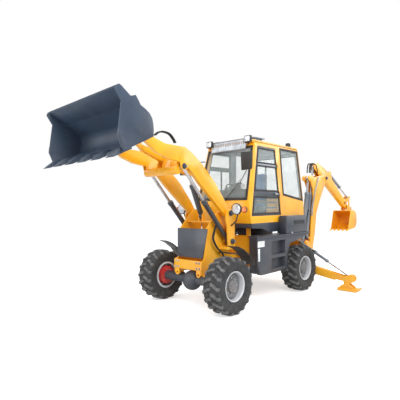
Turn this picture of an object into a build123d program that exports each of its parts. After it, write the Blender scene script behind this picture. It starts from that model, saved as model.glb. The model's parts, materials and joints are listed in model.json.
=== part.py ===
from build123d import *
import os

os.makedirs("parts", exist_ok=True)

# Backhoe loader, articulated at mid-wheelbase. Millimetres, +X towards the loader bucket,
# +Y to the machine's left, +Z up, the ground at z = 0. Side outlines are (x, z) and
# end outlines (y, z); x is counted from the articulation pivot.
pivot_x = 670  # articulation pivot ahead of the frame's origin

# driving sizes
wheelbase = 2620
track = 1830
tyre_r = 522
tyre_w = 400
tyre_bore_r = 252
rim_flange_r = 276
tread_edge = 26
axle_tube_r = 92
diff_r = 195
brake_r = 170
hub_r = 105
plate = 25  # structural plate
sheet = 6  # skin, guards and boxes
run_gap = 0.3  # running clearance at pins, and of seats that move
cut_gap = 6  # gap round a door

# loader linkage, side view
arm_foot = (800, 1826)
lift_foot = (755, 1262)
lift_eye = (2008, 2676)
bucket_pin = (2930, 3180)
tilt_foot = (1024, 1769)
tilt_eye = (1380, 2620)
rocker_pin = (2000, 2850)
link_front = (3030, 3360)
link_rear = (2520, 2990)
arm_y, arm_w = 470, 80
tower_in, tower_out = 345, 550  # inner faces of the tower's two plates
lift_r, lift_rod_r, lift_barrel_l, lift_rod_l = 50, 30, 1070, 1060
tilt_r, tilt_rod_r, tilt_barrel_l, tilt_rod_l = 55, 30, 680, 760
bucket_half = 1020
bucket_wall = 14
pin_r = 36
small_pin_r = 28

# cab
cab_floor_z, cab_top_z = 1600, 3310
cab_half_low, cab_half_top = 740, 650
cab_front_x, cab_rear_x = 395, -1900
cab_wall = 42
roof_t = 70
glass_t = 6

# rear frame
beam_y, beam_w = 320, 60
beam_low, beam_top = 650, 900
deck_z = 1335
side_out = 950  # outer face of tanks, steps and toolboxes
side_in = 620
frame_rear_x = -2030
slide_t = 60

# digger
digger_y = 550
swing_x = -2290
boom_foot = (-2450, 620)
boom_ram_foot = (-2160, 1000)
boom_ram_eye = (-2530, 2660)
dipper_pin = (-3410, 2720)
dipper_ram_foot = (-2400, 1120)
dipper_ram_eye = (-2800, 2990)
dig_bucket_pin = (-4930, 1900)
dig_ram_foot = (-3750, 2890)
lever_top = (-5100, 2200)
lever_foot = (-4740, 2030)
push_pin = (-5140, 1850)
cheek_in, cheek_t = 72, 20
dig_half = 270

# stabilisers, end view
leg_x, leg_t = -1945, 116
leg_foot = (400, 620)
leg_slot = 96  # width of the slot in the leg's top
leg_ram_foot = (530, 1090)
leg_ram_eye = (1900, 290)
pad_pin = (1790, 125)


def side(y):
    return Plane(origin=(pivot_x, y, 0), x_dir=(1, 0, 0), z_dir=(0, -1, 0))


def level(z):
    return Plane(origin=(pivot_x, 0, z), x_dir=(1, 0, 0), z_dir=(0, 0, 1))


def end(x):
    return Plane(origin=(pivot_x + x, 0, 0), x_dir=(0, 1, 0), z_dir=(1, 0, 0))


def at(p, y):
    return Vector(pivot_x + p[0], y, p[1])


def slab(outline, y_mid, width, mode=Mode.ADD):
    with BuildSketch(side(y_mid + width / 2)) as face:
        with BuildLine():
            Polyline(*outline, close=True)
        make_face()
    extrude(face.sketch, amount=width, mode=mode)


def wall(outline, x_rear, depth, mode=Mode.ADD):
    with BuildSketch(end(x_rear)) as face:
        with BuildLine():
            Polyline(*outline, close=True)
        make_face()
    extrude(face.sketch, amount=depth, mode=mode)


def block(x0, x1, y0, y1, z0, z1, mode=Mode.ADD):
    with BuildSketch(level(z0)) as face:
        with Locations(((x0 + x1) / 2, (y0 + y1) / 2)):
            Rectangle(abs(x1 - x0), abs(y1 - y0))
    extrude(face.sketch, amount=z1 - z0, mode=mode)


def bar(start, finish, r, mode=Mode.ADD):
    run = Vector(*finish) - Vector(*start)
    with BuildSketch(Plane(origin=start, z_dir=run)) as face:
        Circle(r)
    extrude(face.sketch, amount=run.length, mode=mode)


def pin(p, y0, y1, r, mode=Mode.ADD):
    bar(at(p, y0), at(p, y1), r, mode)


def cross_bar(p, x_mid, length, r, mode=Mode.ADD):
    bar((pivot_x + x_mid - length / 2, p[0], p[1]), (pivot_x + x_mid + length / 2, p[0], p[1]), r, mode)


def bent_plate(path, y_mid, width, thick, radius):
    with BuildSketch(side(y_mid + width / 2)) as face:
        with BuildLine():
            FilletPolyline(*path, radius=radius)
            offset(amount=thick, side=Side.LEFT)
        make_face()
    extrude(face.sketch, amount=width)


def ram_barrel(foot, eye, pin_axis, length, r, rod_r, eye_r, eye_w, pin_size):
    axis = (eye - foot).normalized()
    neck = eye_r + 18
    bar(foot, foot + axis * neck, min(r, eye_w / 2 - 3))
    bar(foot + axis * (neck - 2), foot + axis * length, r)
    bar(foot + axis * (length - 70), foot + axis * length, r + 8)
    bar(foot - pin_axis * eye_w / 2, foot + pin_axis * eye_w / 2, eye_r)
    bar(foot + axis * (eye_r + 70), foot + axis * (length + 1), rod_r + 1, Mode.SUBTRACT)
    bar(foot - pin_axis * eye_w, foot + pin_axis * eye_w, pin_size + run_gap, Mode.SUBTRACT)


def ram_rod(foot, eye, pin_axis, length, r, eye_r, eye_w):
    axis = (eye - foot).normalized()
    bar(eye - axis * length, eye - axis * eye_r * 0.5, r)
    bar(eye - axis * (eye_r + 40), eye - axis * eye_r * 0.5, r + 4)
    bar(eye - pin_axis * eye_w / 2, eye + pin_axis * eye_w / 2, eye_r)


def finish(builder, label):
    builder.part.label = label
    export_step(builder.part, "parts/" + label + ".step")


across = Vector(0, 1, 0)
along = Vector(1, 0, 0)
axle_front, axle_rear = wheelbase / 2, -wheelbase / 2
wheel_y = track / 2

# wheels
flange_y = 152  # inner face of the rim flanges from the wheel's middle
disc_y = 40  # the rim's disc, outboard of the wheel's middle
disc_t = 16
wheels = (  # label, x, side
    ("front_left", axle_front, 1),
    ("front_right", axle_front, -1),
    ("rear_left", axle_rear, 1),
    ("rear_right", axle_rear, -1),
)
tread_facets = 24
lug_count = 18  # on each side of a tyre
lug_w, lug_h = 40, 26
lug_lean = 24  # degrees off straight across
lug_root = 100  # depth of the lug's foot at the shoulder
tyre_sections = (  # out from the wheel's middle, radius
    (flange_y - 2, rim_flange_r + 6),
    (tyre_w / 2 - 12, 330),
    (tyre_w / 2, 420),
    (tyre_w / 2 - tread_edge, tyre_r - lug_h - 14),
    (tyre_w / 2 - 2 * tread_edge, tyre_r - lug_h),
)
lug_top = tyre_r - lug_w**2 / (8 * tyre_r)
lug_outline = (  # out from the wheel's middle, radius
    (6, lug_top - lug_h - 30),
    (6, lug_top),
    (tyre_w / 2 - 2 * tread_edge + 14, lug_top - 12),
    (tyre_w / 2 - 4, lug_top - lug_root + 10),
    (tyre_w / 2 - 30, lug_top - lug_root),
)
with BuildPart() as tyre_form:
    for y, r in [(-y, r) for y, r in tyre_sections] + list(reversed(tyre_sections)):
        with BuildSketch(Plane.XZ.offset(y)):
            RegularPolygon(r, tread_facets, rotation=180 / tread_facets)
    loft(ruled=True)
    for s in (1, -1):
        out = Vector(0, s, 0).rotate(Axis.Z, lug_lean * s)
        flank = out.cross(Vector(0, 0, 1))
        for i in range(lug_count):
            # the two sides' lugs alternate; a lug's sketch lies square to its flanks
            turn = 360 / lug_count * (i + (1 - s) / 4)
            place = Plane(origin=(0, 0, 0), x_dir=out.rotate(Axis.Y, turn), z_dir=flank.rotate(Axis.Y, turn))
            with BuildSketch(place.offset(-lug_w / 2)) as lug:
                with BuildLine():
                    Polyline(*lug_outline, close=True)
                make_face()
            extrude(lug.sketch, amount=lug_w)
    with BuildSketch(Plane.XZ.offset(-tyre_w / 2)) as bore:
        RegularPolygon(tyre_bore_r, tread_facets, major_radius=False)
    extrude(bore.sketch, amount=tyre_w, mode=Mode.SUBTRACT)
for label, x, s in wheels:
    middle = Plane(origin=(pivot_x + x, s * wheel_y, tyre_r), x_dir=(0, s, 0), z_dir=(s, 0, 0))
    spin = Axis(middle.origin, (0, 1, 0))
    with BuildPart() as tyre:
        with Locations((pivot_x + x, s * wheel_y, tyre_r)):
            add(tyre_form.part)
    finish(tyre, "tyre_" + label)
    with BuildPart() as rim:
        with BuildSketch(middle):
            with BuildLine():
                Polyline(
                    (-flange_y - 16, rim_flange_r),
                    (-flange_y, rim_flange_r),
                    (-flange_y, tyre_bore_r - run_gap),
                    (flange_y, tyre_bore_r - run_gap),
                    (flange_y, rim_flange_r),
                    (flange_y + 16, rim_flange_r),
                    (flange_y + 16, tyre_bore_r - 14),
                    (disc_y + disc_t, tyre_bore_r - 30),
                    (disc_y + disc_t, 0),
                    (disc_y, 0),
                    (disc_y, tyre_bore_r - 14),
                    (-flange_y - 16, tyre_bore_r - 14),
                    close=True,
                )
            make_face()
        revolve(axis=spin)
        hub_face = middle.origin + across * s * (disc_y + disc_t)
        bar(hub_face, hub_face + across * s * 60, hub_r)
    finish(rim, "rim_" + label)

# axles
seat_top = beam_low - 30
axles = (  # label, x, way to the pivot
    ("front_axle", axle_front, -1),
    ("rear_axle", axle_rear, 1),
)
nose_l, nose_r = 300, 75  # drive input towards the pivot
diff_drop = 20  # the bowl's middle below the axle line
brake_y, brake_w = wheel_y - 130, 165
seat_y, seat_half = 345, 55  # pads that the frame sits on
for label, x, inward in axles:
    with BuildPart() as axle:
        pin((x, tyre_r), -wheel_y - disc_y + run_gap, wheel_y + disc_y - run_gap, axle_tube_r)
        nose = Vector(pivot_x + x, 0, tyre_r - diff_drop)
        with Locations(nose):
            Sphere(diff_r)
        bar(nose, nose + along * inward * nose_l, nose_r)
        for s in (1, -1):
            bar(at((x, tyre_r), s * brake_y), at((x, tyre_r), s * (brake_y + brake_w)), brake_r)
            block(x - 90, x + 90, s * seat_y - seat_half, s * seat_y + seat_half, tyre_r, seat_top)
    finish(axle, label)

# front frame: a tower of two plates each side, and the neck that turns on the king pin
neck_low, neck_top = 640, 940
neck_half = 160
king_pin_r = 45
bumper_low, bumper_top = 735, 915
bumper_rear, bumper_front = 1400, 1445
tilt_ear_in, tilt_ear_t = 35, 26
boss_out = 12  # pin ends beyond the tower's outer plates
tow_eye_y, tow_eye_z, tow_eye_r = 290, 650, 24
tow_eye_round = 50  # outer radius of the eye
tow_eye_x, tow_eye_t = bumper_rear + 5, 40
with BuildPart() as front_chassis:
    for s in (1, -1):
        inner_outline = (
            (560, 640), (560, 930), (640, 1300), (680, 1750), (740, 1900), (860, 1905),
            (1010, 1800), (1280, 1530), (1355, 962), (1355, 940), (1440, 915), (1440, 650), (1230, 640),
        )
        slab(inner_outline, s * (tower_in + plate / 2), plate)
        outer_outline = (
            (660, 1190), (660, 1560), (700, 1840), (740, 1905), (850, 1910), (915, 1840),
            (940, 1720), (905, 1560), (870, 1140),
        )
        slab(outer_outline, s * (tower_out + plate / 2), plate)
        # web that carries the outer plate on the inner one, below and behind the lift ram
        ramp = ((660, 1110), (660, 1185), (760, 1185), (880, 1150), (900, 1110))
        slab(ramp, s * (tower_in + tower_out + 2 * plate) / 2, tower_out - tower_in)
        slab(((655, 1150), (655, 1560), (690, 1560), (697, 1190), (700, 1150)), s * 460, 190)
        pin(arm_foot, s * tower_in, s * (tower_out + plate + boss_out), pin_r)
        pin(lift_foot, s * tower_in, s * (tower_out + plate + boss_out), pin_r)
        block(axle_front - 110, axle_front + 80, s * tower_in, s * (tower_in + 60), seat_top, 650)
    block(bumper_rear, bumper_front, -tower_in - 31, tower_in + 31, bumper_low, bumper_top)
    block(600, 640, -tower_in, tower_in, 700, 1650)
    block(560, 1100, -tower_in, tower_in, 640, 665)
    # the tilt ram's foot, on a plate of its own between the tower's plates
    block(960, 1080, -tower_in + run_gap, tower_in - run_gap, 1640, 1640 + plate)
    for s in (1, -1):
        tilt_ear = ((960, 1660), (985, 1800), (1024, 1825), (1056, 1805), (1058, 1660))
        slab(tilt_ear, s * (tilt_ear_in + tilt_ear_t / 2), tilt_ear_t)
    pin(tilt_foot, -tilt_ear_in - tilt_ear_t, tilt_ear_in + tilt_ear_t, small_pin_r)
    block(0, 600, -neck_half, neck_half, neck_low, neck_top)
    with BuildSketch(level(neck_low)):
        Circle(neck_half)
    extrude(amount=neck_top - neck_low)
    with BuildSketch(level(neck_low)):
        Circle(king_pin_r + run_gap)
    extrude(amount=neck_top - neck_low, mode=Mode.SUBTRACT)
    # tow eyes bolted up under the bumper beam
    for s in (1, -1):
        foot = bumper_low - run_gap
        with BuildSketch(end(tow_eye_x)) as tow_plate:
            with Locations((s * tow_eye_y, tow_eye_z)):
                Circle(tow_eye_round)
            with Locations((s * tow_eye_y, (foot + tow_eye_z) / 2)):
                Rectangle(2 * tow_eye_round, foot - tow_eye_z)
            with Locations((s * tow_eye_y, tow_eye_z)):
                Circle(tow_eye_r, mode=Mode.SUBTRACT)
        extrude(tow_plate.sketch, amount=tow_eye_t)
finish(front_chassis, "front_chassis")

with BuildPart() as nose_cover:
    # a plate across the front of the tower, narrower towards its foot, with a raised panel
    for foot_half, top_half, back, front in ((345, 415, -10, 8), (285, 365, 7, 15.4)):
        for x, z, half in ((1372, 960, foot_half), (1296, 1528, top_half)):
            with BuildSketch(Plane(origin=(pivot_x + x, 0, z), x_dir=(0, 1, 0), z_dir=(-0.134, 0, 0.991))):
                with BuildLine():
                    Polyline((-half, back), (half, back), (half, front), (-half, front), close=True)
                make_face()
        loft()
finish(nose_cover, "nose_cover")

fender_in, fender_out = 830, 1100
with BuildPart() as front_fenders:
    for s in (1, -1):
        path = ((1230, 1235), (1060, 1165), (880, 1040), (715, 840))
        bent_plate(path, s * (fender_in + fender_out) / 2, fender_out - fender_in, sheet, 120)
        block(895, 925, s * (tower_in + plate + run_gap), s * (fender_in + 60), 1036, 1060)
finish(front_fenders, "front_fenders")

lamp_front = (857, 763, 1907)
with BuildPart() as headlamps:
    for s in (1, -1):
        x, y, z = lamp_front
        bar((pivot_x + x - 110, s * y, z), (pivot_x + x, s * y, z), 78)
        bar((pivot_x + x - 90, s * (y + 120), z - 15), (pivot_x + x - 20, s * (y + 120), z - 15), 50)
        block(x - 90, x - 50, s * (y - 20), s * (y + 140), z - 40, z)
        bar((pivot_x + x - 70, s * y, z), (pivot_x + 780, s * 700, 1640), 14)
        bar((pivot_x + 780, s * 700, 1640), (pivot_x + 780, s * 590, 1560), 14)
        block(750, 810, s * (tower_out + plate + run_gap), s * 595, 1525, 1595)
finish(headlamps, "headlamps")

# loader linkage
arm_upper = (
    (738, 1850), (780, 1905), (897, 2083), (1187, 2431), (1575, 2778), (1800, 2930), (1969, 3013),
    (2446, 3025), (2652, 3089), (2860, 3245), (2990, 3250), (3005, 3130), (2960, 3090),
)
arm_lower = (
    (2807, 2995), (2630, 2866), (2381, 2781), (2007, 2735), (1799, 2583), (1599, 2389),
    (1313, 2147), (923, 1820), (870, 1765), (790, 1745), (738, 1790),
)
cross_tube = (2080, 2610)
cross_tube_r = 75
ear_in = 36  # inner face of the ears from the ram's middle
ear_t = 16
# pocket in the arm's underside that leaves room for the lift ram's eye, and the doublers beside it
eye_pocket = (
    (1770, 2500), (1770, 2560), (1905, 2735), (1940, 2775), (1980, 2798), (2030, 2798), (2062, 2775),
    (2075, 2740), (2100, 2500),
)
eye_ear = (
    (1860, 2660), (1910, 2650), (1960, 2625), (2030, 2608), (2085, 2660), (2115, 2770), (2095, 2835),
    (1990, 2845), (1900, 2800), (1850, 2710),
)
with BuildPart() as lift_arms:
    for s in (1, -1):
        slab(arm_upper + arm_lower, s * arm_y, arm_w)
        pin(arm_foot, s * (tower_in + plate + run_gap), s * (tower_out - run_gap), 62)
        pin(bucket_pin, s * (arm_y - 60), s * (arm_y + 60), 78)
        slab(eye_pocket, s * arm_y, 2 * ear_in, Mode.SUBTRACT)
        for side_of_eye in (1, -1):
            y = s * arm_y + side_of_eye * (ear_in + ear_t / 2)
            slab(eye_ear, y, ear_t)
    pin(cross_tube, -arm_y + 39, arm_y - 39, cross_tube_r)
    for s in (1, -1):
        cheek = ((1990, 2600), (1925, 2850), (1960, 2925), (2040, 2925), (2075, 2850), (2165, 2600))
        slab(cheek, s * 76, 26)
    pin(rocker_pin, -89, 89, pin_r)
    for s in (1, -1):
        pin(arm_foot, s * tower_in, s * (tower_out + 40), pin_r + run_gap, Mode.SUBTRACT)
        pin(bucket_pin, s * (arm_y - 70), s * (arm_y + 70), pin_r + run_gap, Mode.SUBTRACT)
finish(lift_arms, "lift_arms")

with BuildPart() as lift_barrels:
    for s in (1, -1):
        foot, eye = at(lift_foot, s * arm_y), at(lift_eye, s * arm_y)
        ram_barrel(foot, eye, across, lift_barrel_l, lift_r, lift_rod_r, 50, 96, pin_r)
finish(lift_barrels, "lift_barrels")

with BuildPart() as lift_rods:
    for s in (1, -1):
        foot, eye = at(lift_foot, s * arm_y), at(lift_eye, s * arm_y)
        ram_rod(foot, eye, across, lift_rod_l, lift_rod_r, 44, 66)
finish(lift_rods, "lift_rods")

with BuildPart() as tilt_barrel:
    foot, eye = at(tilt_foot, 0), at(tilt_eye, 0)
    ram_barrel(foot, eye, across, tilt_barrel_l, tilt_r, tilt_rod_r, 50, 66, small_pin_r)
finish(tilt_barrel, "tilt_barrel")

with BuildPart() as tilt_rod:
    ram_rod(at(tilt_foot, 0), at(tilt_eye, 0), across, tilt_rod_l, tilt_rod_r, 44, 60)
finish(tilt_rod, "tilt_rod")

rocker_gap, rocker_t = 36, 24  # half the fork's gap, and each plate
with BuildPart() as rocker:
    for s in (1, -1):
        outline = (
            (1345, 2655), (1335, 2600), (1385, 2565), (1700, 2660), (2020, 2765), (2520, 2945),
            (2565, 2990), (2520, 3035), (1960, 2925),
        )
        slab(outline, s * (rocker_gap + rocker_t / 2), rocker_t)
    pin(rocker_pin, -62, 62, 62)
    pin(link_rear, -rocker_gap - rocker_t, rocker_gap + rocker_t, 26)
    pin(rocker_pin, -70, 70, pin_r + run_gap, Mode.SUBTRACT)
finish(rocker, "rocker")

with BuildPart() as bucket_link:
    pin(link_rear, -rocker_gap + 2, rocker_gap - 2, 44)
    slab(((2505, 3035), (2985, 3385), (3015, 3345), (2540, 2950)), 0, 2 * rocker_gap - 4)
    pin(link_front, -rocker_gap + 2, rocker_gap - 2, 44)
    pin(link_rear, -80, 80, 26 + run_gap, Mode.SUBTRACT)
finish(bucket_link, "bucket_link")

shell_path = ((3640, 2718), (3130, 2965), (3110, 3210), (3400, 3430), (3700, 3590))
shell_bend = 180
cheek_outline = (
    (3109, 2979), (3640, 2718), (3722, 2910), (3697, 3115), (3660, 3384), (3758, 3530), (3740, 3580),
    (3700, 3606), (3655, 3596), (3506, 3488), (3458, 3503), (3421, 3518), (3378, 3462), (3336, 3395),
    (3248, 3352), (3173, 3302), (3131, 3241), (3113, 3172), (3104, 3077),
)
tooth_y = (-940, -564, -188, 188, 564, 940)
tooth_w = 70
with BuildPart() as loader_bucket:
    for s in (1, -1):
        for off in (-88, 88):
            ear = ((3200, 3280), (3200, 2940), (3000, 3080), (2870, 3120), (2860, 3230), (2990, 3260))
            slab(ear, s * arm_y + off, 50)
        link_ear = ((3160, 3120), (3400, 3380), (3290, 3400), (3060, 3425), (2985, 3385), (2985, 3330))
        slab(link_ear, s * (rocker_gap + 2 + 15), 30)
    # ribs down the back
    for y in (-760, -240, 240, 760):
        rib = (
            (3500, 2760), (3200, 2905), (3150, 3000), (3150, 3200), (3300, 3300), (3260, 3370), (3076, 3225),
            (3076, 2960),
        )
        slab(rib, y, 16)
    with BuildSketch(side(bucket_half)) as hollow:
        with BuildLine():
            FilletPolyline(*shell_path, radius=shell_bend)
            Line(shell_path[-1], shell_path[0])
        make_face()
    extrude(hollow.sketch, amount=2 * bucket_half, mode=Mode.SUBTRACT)
    with BuildSketch(side(bucket_half)) as shell:
        with BuildLine():
            FilletPolyline(*shell_path, radius=shell_bend)
            offset(amount=bucket_wall, side=Side.RIGHT)
        make_face()
    extrude(shell.sketch, amount=2 * bucket_half)
    for s in (1, -1):
        slab(cheek_outline, s * (bucket_half - bucket_wall / 2), bucket_wall)
        # side cutter along the cheek's front edge
        cutter = ((3600, 2745), (3640, 2718), (3722, 2910), (3712, 3000), (3672, 3000), (3680, 2910))
        slab(cutter, s * (bucket_half + 6), 12)
        pin(bucket_pin, s * (arm_y - 113), s * (arm_y + 113), pin_r)
    # top lip's stiffener
    slab(((3685, 3610), (3640, 3586), (3634, 3562), (3700, 3594), (3704, 3606)), 0, 2 * bucket_half)
    lip = ((3500, 2786), (3640, 2718), (3662, 2712), (3652, 2690), (3490, 2764))
    slab(lip, 0, 2 * bucket_half)
    for y in tooth_y:
        root, tip = (3560, 2757), (3850, 2613)
        tooth = (
            (root[0] - 60, root[1] + 29), (root[0] + 16, root[1] + 36), (root[0] + 120, root[1] - 2),
            (tip[0] - 70, tip[1] + 60), tip, (tip[0] - 100, tip[1] + 24), (root[0] + 60, root[1] - 62),
        )
        slab(tooth, y, tooth_w)
finish(loader_bucket, "loader_bucket")

# rear frame and what it carries
post_top = cab_floor_z
box_half = 270  # half width of the box behind the rear axle
with BuildPart() as rear_chassis:
    for s in (1, -1):
        block(-1860, -180, s * (beam_y - beam_w / 2), s * (beam_y + beam_w / 2), beam_low, beam_top)
        block(axle_rear - 110, axle_rear + 110, s * 285, s * 405, seat_top, beam_low)
        block(110, 150, s * 480, s * 570, deck_z, post_top)
        block(-1640, -1560, s * 280, s * 360, beam_top, post_top)
        # arms that carry the tanks and the deck
        for x in (-50, -650):
            block(x - 30, x + 30, s * 340, s * (side_in - run_gap), 700, 760)
        block(-1640, -1560, s * 350, s * 800, 1270, deck_z - 25 - run_gap)
        # stabiliser foot and ram ears, either side of the leg
        for x in (leg_x - leg_t / 2 - 22, leg_x + leg_t / 2 + 2):
            foot_ear = (
                (s * 260, 560), (s * 260, 1170), (s * 560, 1170), (s * 600, 1060), (s * 480, 980),
                (s * 470, 560), (s * 400, 530),
            )
            wall(foot_ear, x, 20)
        cross_bar((s * leg_foot[0], leg_foot[1]), leg_x, leg_t + 44, pin_r)
        cross_bar((s * leg_ram_foot[0], leg_ram_foot[1]), leg_x, leg_t + 44, small_pin_r)
    block(-500, 130, -350, 350, neck_top + run_gap, neck_top + 30)
    block(-500, 130, -300, 300, neck_low - 30, neck_low - run_gap)
    with BuildSketch(level(neck_low - 30)):
        Circle(king_pin_r)
    extrude(amount=neck_top - neck_low + 60)
    block(-280, -180, -350, 350, neck_low - 30, neck_top + 30)
    block(110, 150, -575, 575, neck_top + 30, deck_z)
    for x in (-600, -900, -1700):
        block(x - 40, x + 40, -beam_y, beam_y, beam_low + 40, beam_top - 40)
    block(-1878, -1850, -350, 350, 560, 930)
    block(frame_rear_x, -1870, -box_half, box_half, 540, 930)
    block(frame_rear_x, -2010, -560, 560, 560, 870)
    block(frame_rear_x - 40, frame_rear_x, -900, 900, 430, 880)
    for z in (430, 830):
        block(frame_rear_x - slide_t, frame_rear_x - 40, -900, 900, z, z + 50)
finish(rear_chassis, "rear_chassis")

with BuildPart() as engine_block:
    block(-1250, -510, -250, 250, beam_top - 40 + run_gap, cab_floor_z - 160)
finish(engine_block, "engine_block")

with BuildPart() as side_tanks:
    for s in (1, -1):
        y_mid, y_w = s * (side_in + side_out) / 2, side_out - side_in
        tank = (
            (470, deck_z - 25), (445, 850), (330, 600), (290, 560), (-740, 560), (-760, 900), (-880, 1210),
            (-900, deck_z - 25),
        )
        slab(tank, y_mid, y_w)
        # two foot recesses in the rear half
        for z0, z1 in ((640, 860), (930, 1220)):
            block(-640, -90, s * side_out - 120, s * side_out + 120, z0, z1, Mode.SUBTRACT)
        deck = (
            (480, deck_z), (480, deck_z - 25), (-1750, deck_z - 25), (-1770, deck_z - 10), (-1750, deck_z),
        )
        slab(deck, s * (side_in - 40 + side_out + 30) / 2, side_out + 30 - side_in + 40)
        arch = (
            (-850, 1120), (-1000, 1145), (-1250, 1180), (-1500, 1225), (-1680, 1275), (-1790, 1325),
            (-1750, deck_z - 25), (-880, deck_z - 25),
        )
        slab(arch, s * (side_out - 3), 6)
        # the front is cut back to let the front frame swing past
        with BuildSketch(level(500)):
            with BuildLine():
                cut = ((800, s * 500), (235, s * 500), (235, s * 800), (480, s * 984), (800, s * 984))
                Polyline(*cut, close=True)
            make_face()
        extrude(amount=900, mode=Mode.SUBTRACT)
finish(side_tanks, "side_tanks")

with BuildPart() as toolboxes:
    for s in (1, -1):
        y_mid = s * (cab_half_low + 15 + side_out) / 2
        slab(
            ((-700, deck_z), (-700, 1690), (-745, 1735), (-1600, 1735), (-1640, 1690), (-1640, deck_z)),
            y_mid,
            side_out - cab_half_low - 15,
        )
finish(toolboxes, "toolboxes")

with BuildPart() as cab_skirt:
    for s in (1, -1):
        skirt = (
            (300, cab_floor_z), (300, 1500), (-60, 1480), (-330, 1390), (-700, 1390), (-700, cab_floor_z),
        )
        slab(skirt, s * (cab_half_low - 15), 30)
    block(270, 300, -cab_half_low + 10, cab_half_low - 10, 1500, cab_floor_z)
finish(cab_skirt, "cab_skirt")

# cab
cab_profile = (
    (cab_rear_x, cab_floor_z), (cab_front_x - 75, cab_floor_z), (cab_front_x, 2075), (60, cab_top_z),
    (-1790, cab_top_z), (cab_rear_x - 30, 2060),
)
cab_section = (
    (-cab_half_low, cab_floor_z - 1), (cab_half_low, cab_floor_z - 1),
    (cab_half_top, cab_top_z + 1), (-cab_half_top, cab_top_z + 1),
)


def cab_form(inset, mode=Mode.ADD):
    with BuildPart(mode=Mode.PRIVATE) as form:
        with BuildSketch(side(1000)) as profile:
            with BuildLine():
                Polyline(*cab_profile, close=True)
            make_face()
            if inset:
                offset(amount=-inset, kind=Kind.INTERSECTION, mode=Mode.REPLACE)
        extrude(profile.sketch, amount=2000)
        with BuildSketch(end(-2500)) as section:
            with BuildLine():
                Polyline(*cab_section, close=True)
            make_face()
            if inset:
                offset(amount=-inset, kind=Kind.INTERSECTION, mode=Mode.REPLACE)
        extrude(section.sketch, amount=3500, mode=Mode.INTERSECT)
    add(form.part, mode=mode)


door_outline = ((300, 1750), (-40, 3255), (-742, 3255), (-852, 1750))
door_window_low = ((245, 1800), (165, 2150), (-800, 2150), (-815, 1800))
door_window_mid = ((130, 2290), (15, 2820), (-745, 2820), (-785, 2290))
door_window_top = ((0, 2890), (-75, 3205), (-725, 3205), (-740, 2890))
rear_window = ((-990, 2222), (-950, 3268), (-1742, 3268), (-1876, 2095))
screen_outline = ((-662, 2112), (662, 2112), (606, 3222), (-606, 3222))
rear_screen_outline = ((-640, 2140), (640, 2140), (580, 3200), (-580, 3200))
window_sets = (door_window_low, door_window_mid, door_window_top)


def shrink(outline, gap):
    cx = sum(p[0] for p in outline) / len(outline)
    cz = sum(p[1] for p in outline) / len(outline)
    return tuple((u - gap if u > cx else u + gap, v - gap if v > cz else v + gap) for u, v in outline)


# door hinges lie along the door's rear edge, just outside the cab's side
hinge_low, hinge_high = (-849, 744, 1750), (-739, 665, 3255)
hinge_z = (2220, 2855)
hinge_l, hinge_r = 50, 11


def hinge_point(s, z):
    part_way = (z - hinge_low[2]) / (hinge_high[2] - hinge_low[2])
    x, y = (hinge_low[i] + part_way * (hinge_high[i] - hinge_low[i]) for i in (0, 1))
    return Vector(pivot_x + x, s * y, z)


def hinge_knuckle(s, z, way):
    bar(hinge_point(s, z - hinge_l / 2), hinge_point(s, z + hinge_l / 2), hinge_r)
    bar(hinge_point(s, z), hinge_point(s, z) + Vector(way * 40, -s * 20, 0), 8)


with BuildPart() as cab_shell:
    cab_form(0)
    cab_form(cab_wall, Mode.SUBTRACT)
    slab(door_outline, 0, 2000, Mode.SUBTRACT)
    slab(rear_window, 0, 2000, Mode.SUBTRACT)
    # windscreen and rear screen
    wall(screen_outline, 0, 600, Mode.SUBTRACT)
    wall(rear_screen_outline, -2100, 500, Mode.SUBTRACT)
    for s in (1, -1):
        for z in hinge_z:
            for off in (-hinge_l - run_gap, hinge_l + run_gap):
                hinge_knuckle(s, z + off, -1)
finish(cab_shell, "cab_shell")

with BuildPart() as cab_roof:
    roof = (
        (95, cab_top_z), (95, cab_top_z + 45), (60, cab_top_z + roof_t), (-1760, cab_top_z + roof_t),
        (-1830, cab_top_z),
    )
    slab(roof, 0, 2 * cab_half_top)
    fillet(cab_roof.edges().filter_by(Axis.Y).group_by(Axis.Z)[-1], radius=25)
    fillet(cab_roof.faces().sort_by(Axis.Z)[-1].edges().filter_by(Axis.X), radius=40)
finish(cab_roof, "cab_roof")

with BuildPart() as cab_glass:
    cab_form(12)
    cab_form(12 + glass_t, Mode.SUBTRACT)
    with BuildPart(mode=Mode.PRIVATE) as panes:
        slab(shrink(rear_window, run_gap), 0, 2000)
        wall(shrink(screen_outline, run_gap), 60, 500)
        wall(shrink(rear_screen_outline, run_gap), -2100, 480)
    add(panes.part, mode=Mode.INTERSECT)
finish(cab_glass, "cab_glass")

for label, s in (("left", 1), ("right", -1)):
    with BuildPart() as door:
        cab_form(4)
        cab_form(34, Mode.SUBTRACT)
        slab(shrink(door_outline, cut_gap), s * 700, 700, Mode.INTERSECT)
        for outline in window_sets:
            slab(outline, s * 700, 700, Mode.SUBTRACT)
        for z in hinge_z:
            hinge_knuckle(s, z, 1)
    finish(door, "door_" + label)
    with BuildPart() as door_glass:
        cab_form(14)
        cab_form(14 + glass_t, Mode.SUBTRACT)
        with BuildPart(mode=Mode.PRIVATE) as panes:
            for outline in window_sets:
                slab(shrink(outline, run_gap), s * 700, 700)
        add(panes.part, mode=Mode.INTERSECT)
    finish(door_glass, "door_glass_" + label)

with BuildPart() as sun_visor:
    visor_path = ((150, 3190), (115, 3300), (85, 3415), (-150, 3470), (-600, 3480))
    bent_plate(visor_path, 0, 960, 4, 40)
    for s in (1, -1):
        block(-560, -520, s * 400, s * 430, cab_top_z + roof_t + run_gap, 3478)
finish(sun_visor, "sun_visor")

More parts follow.
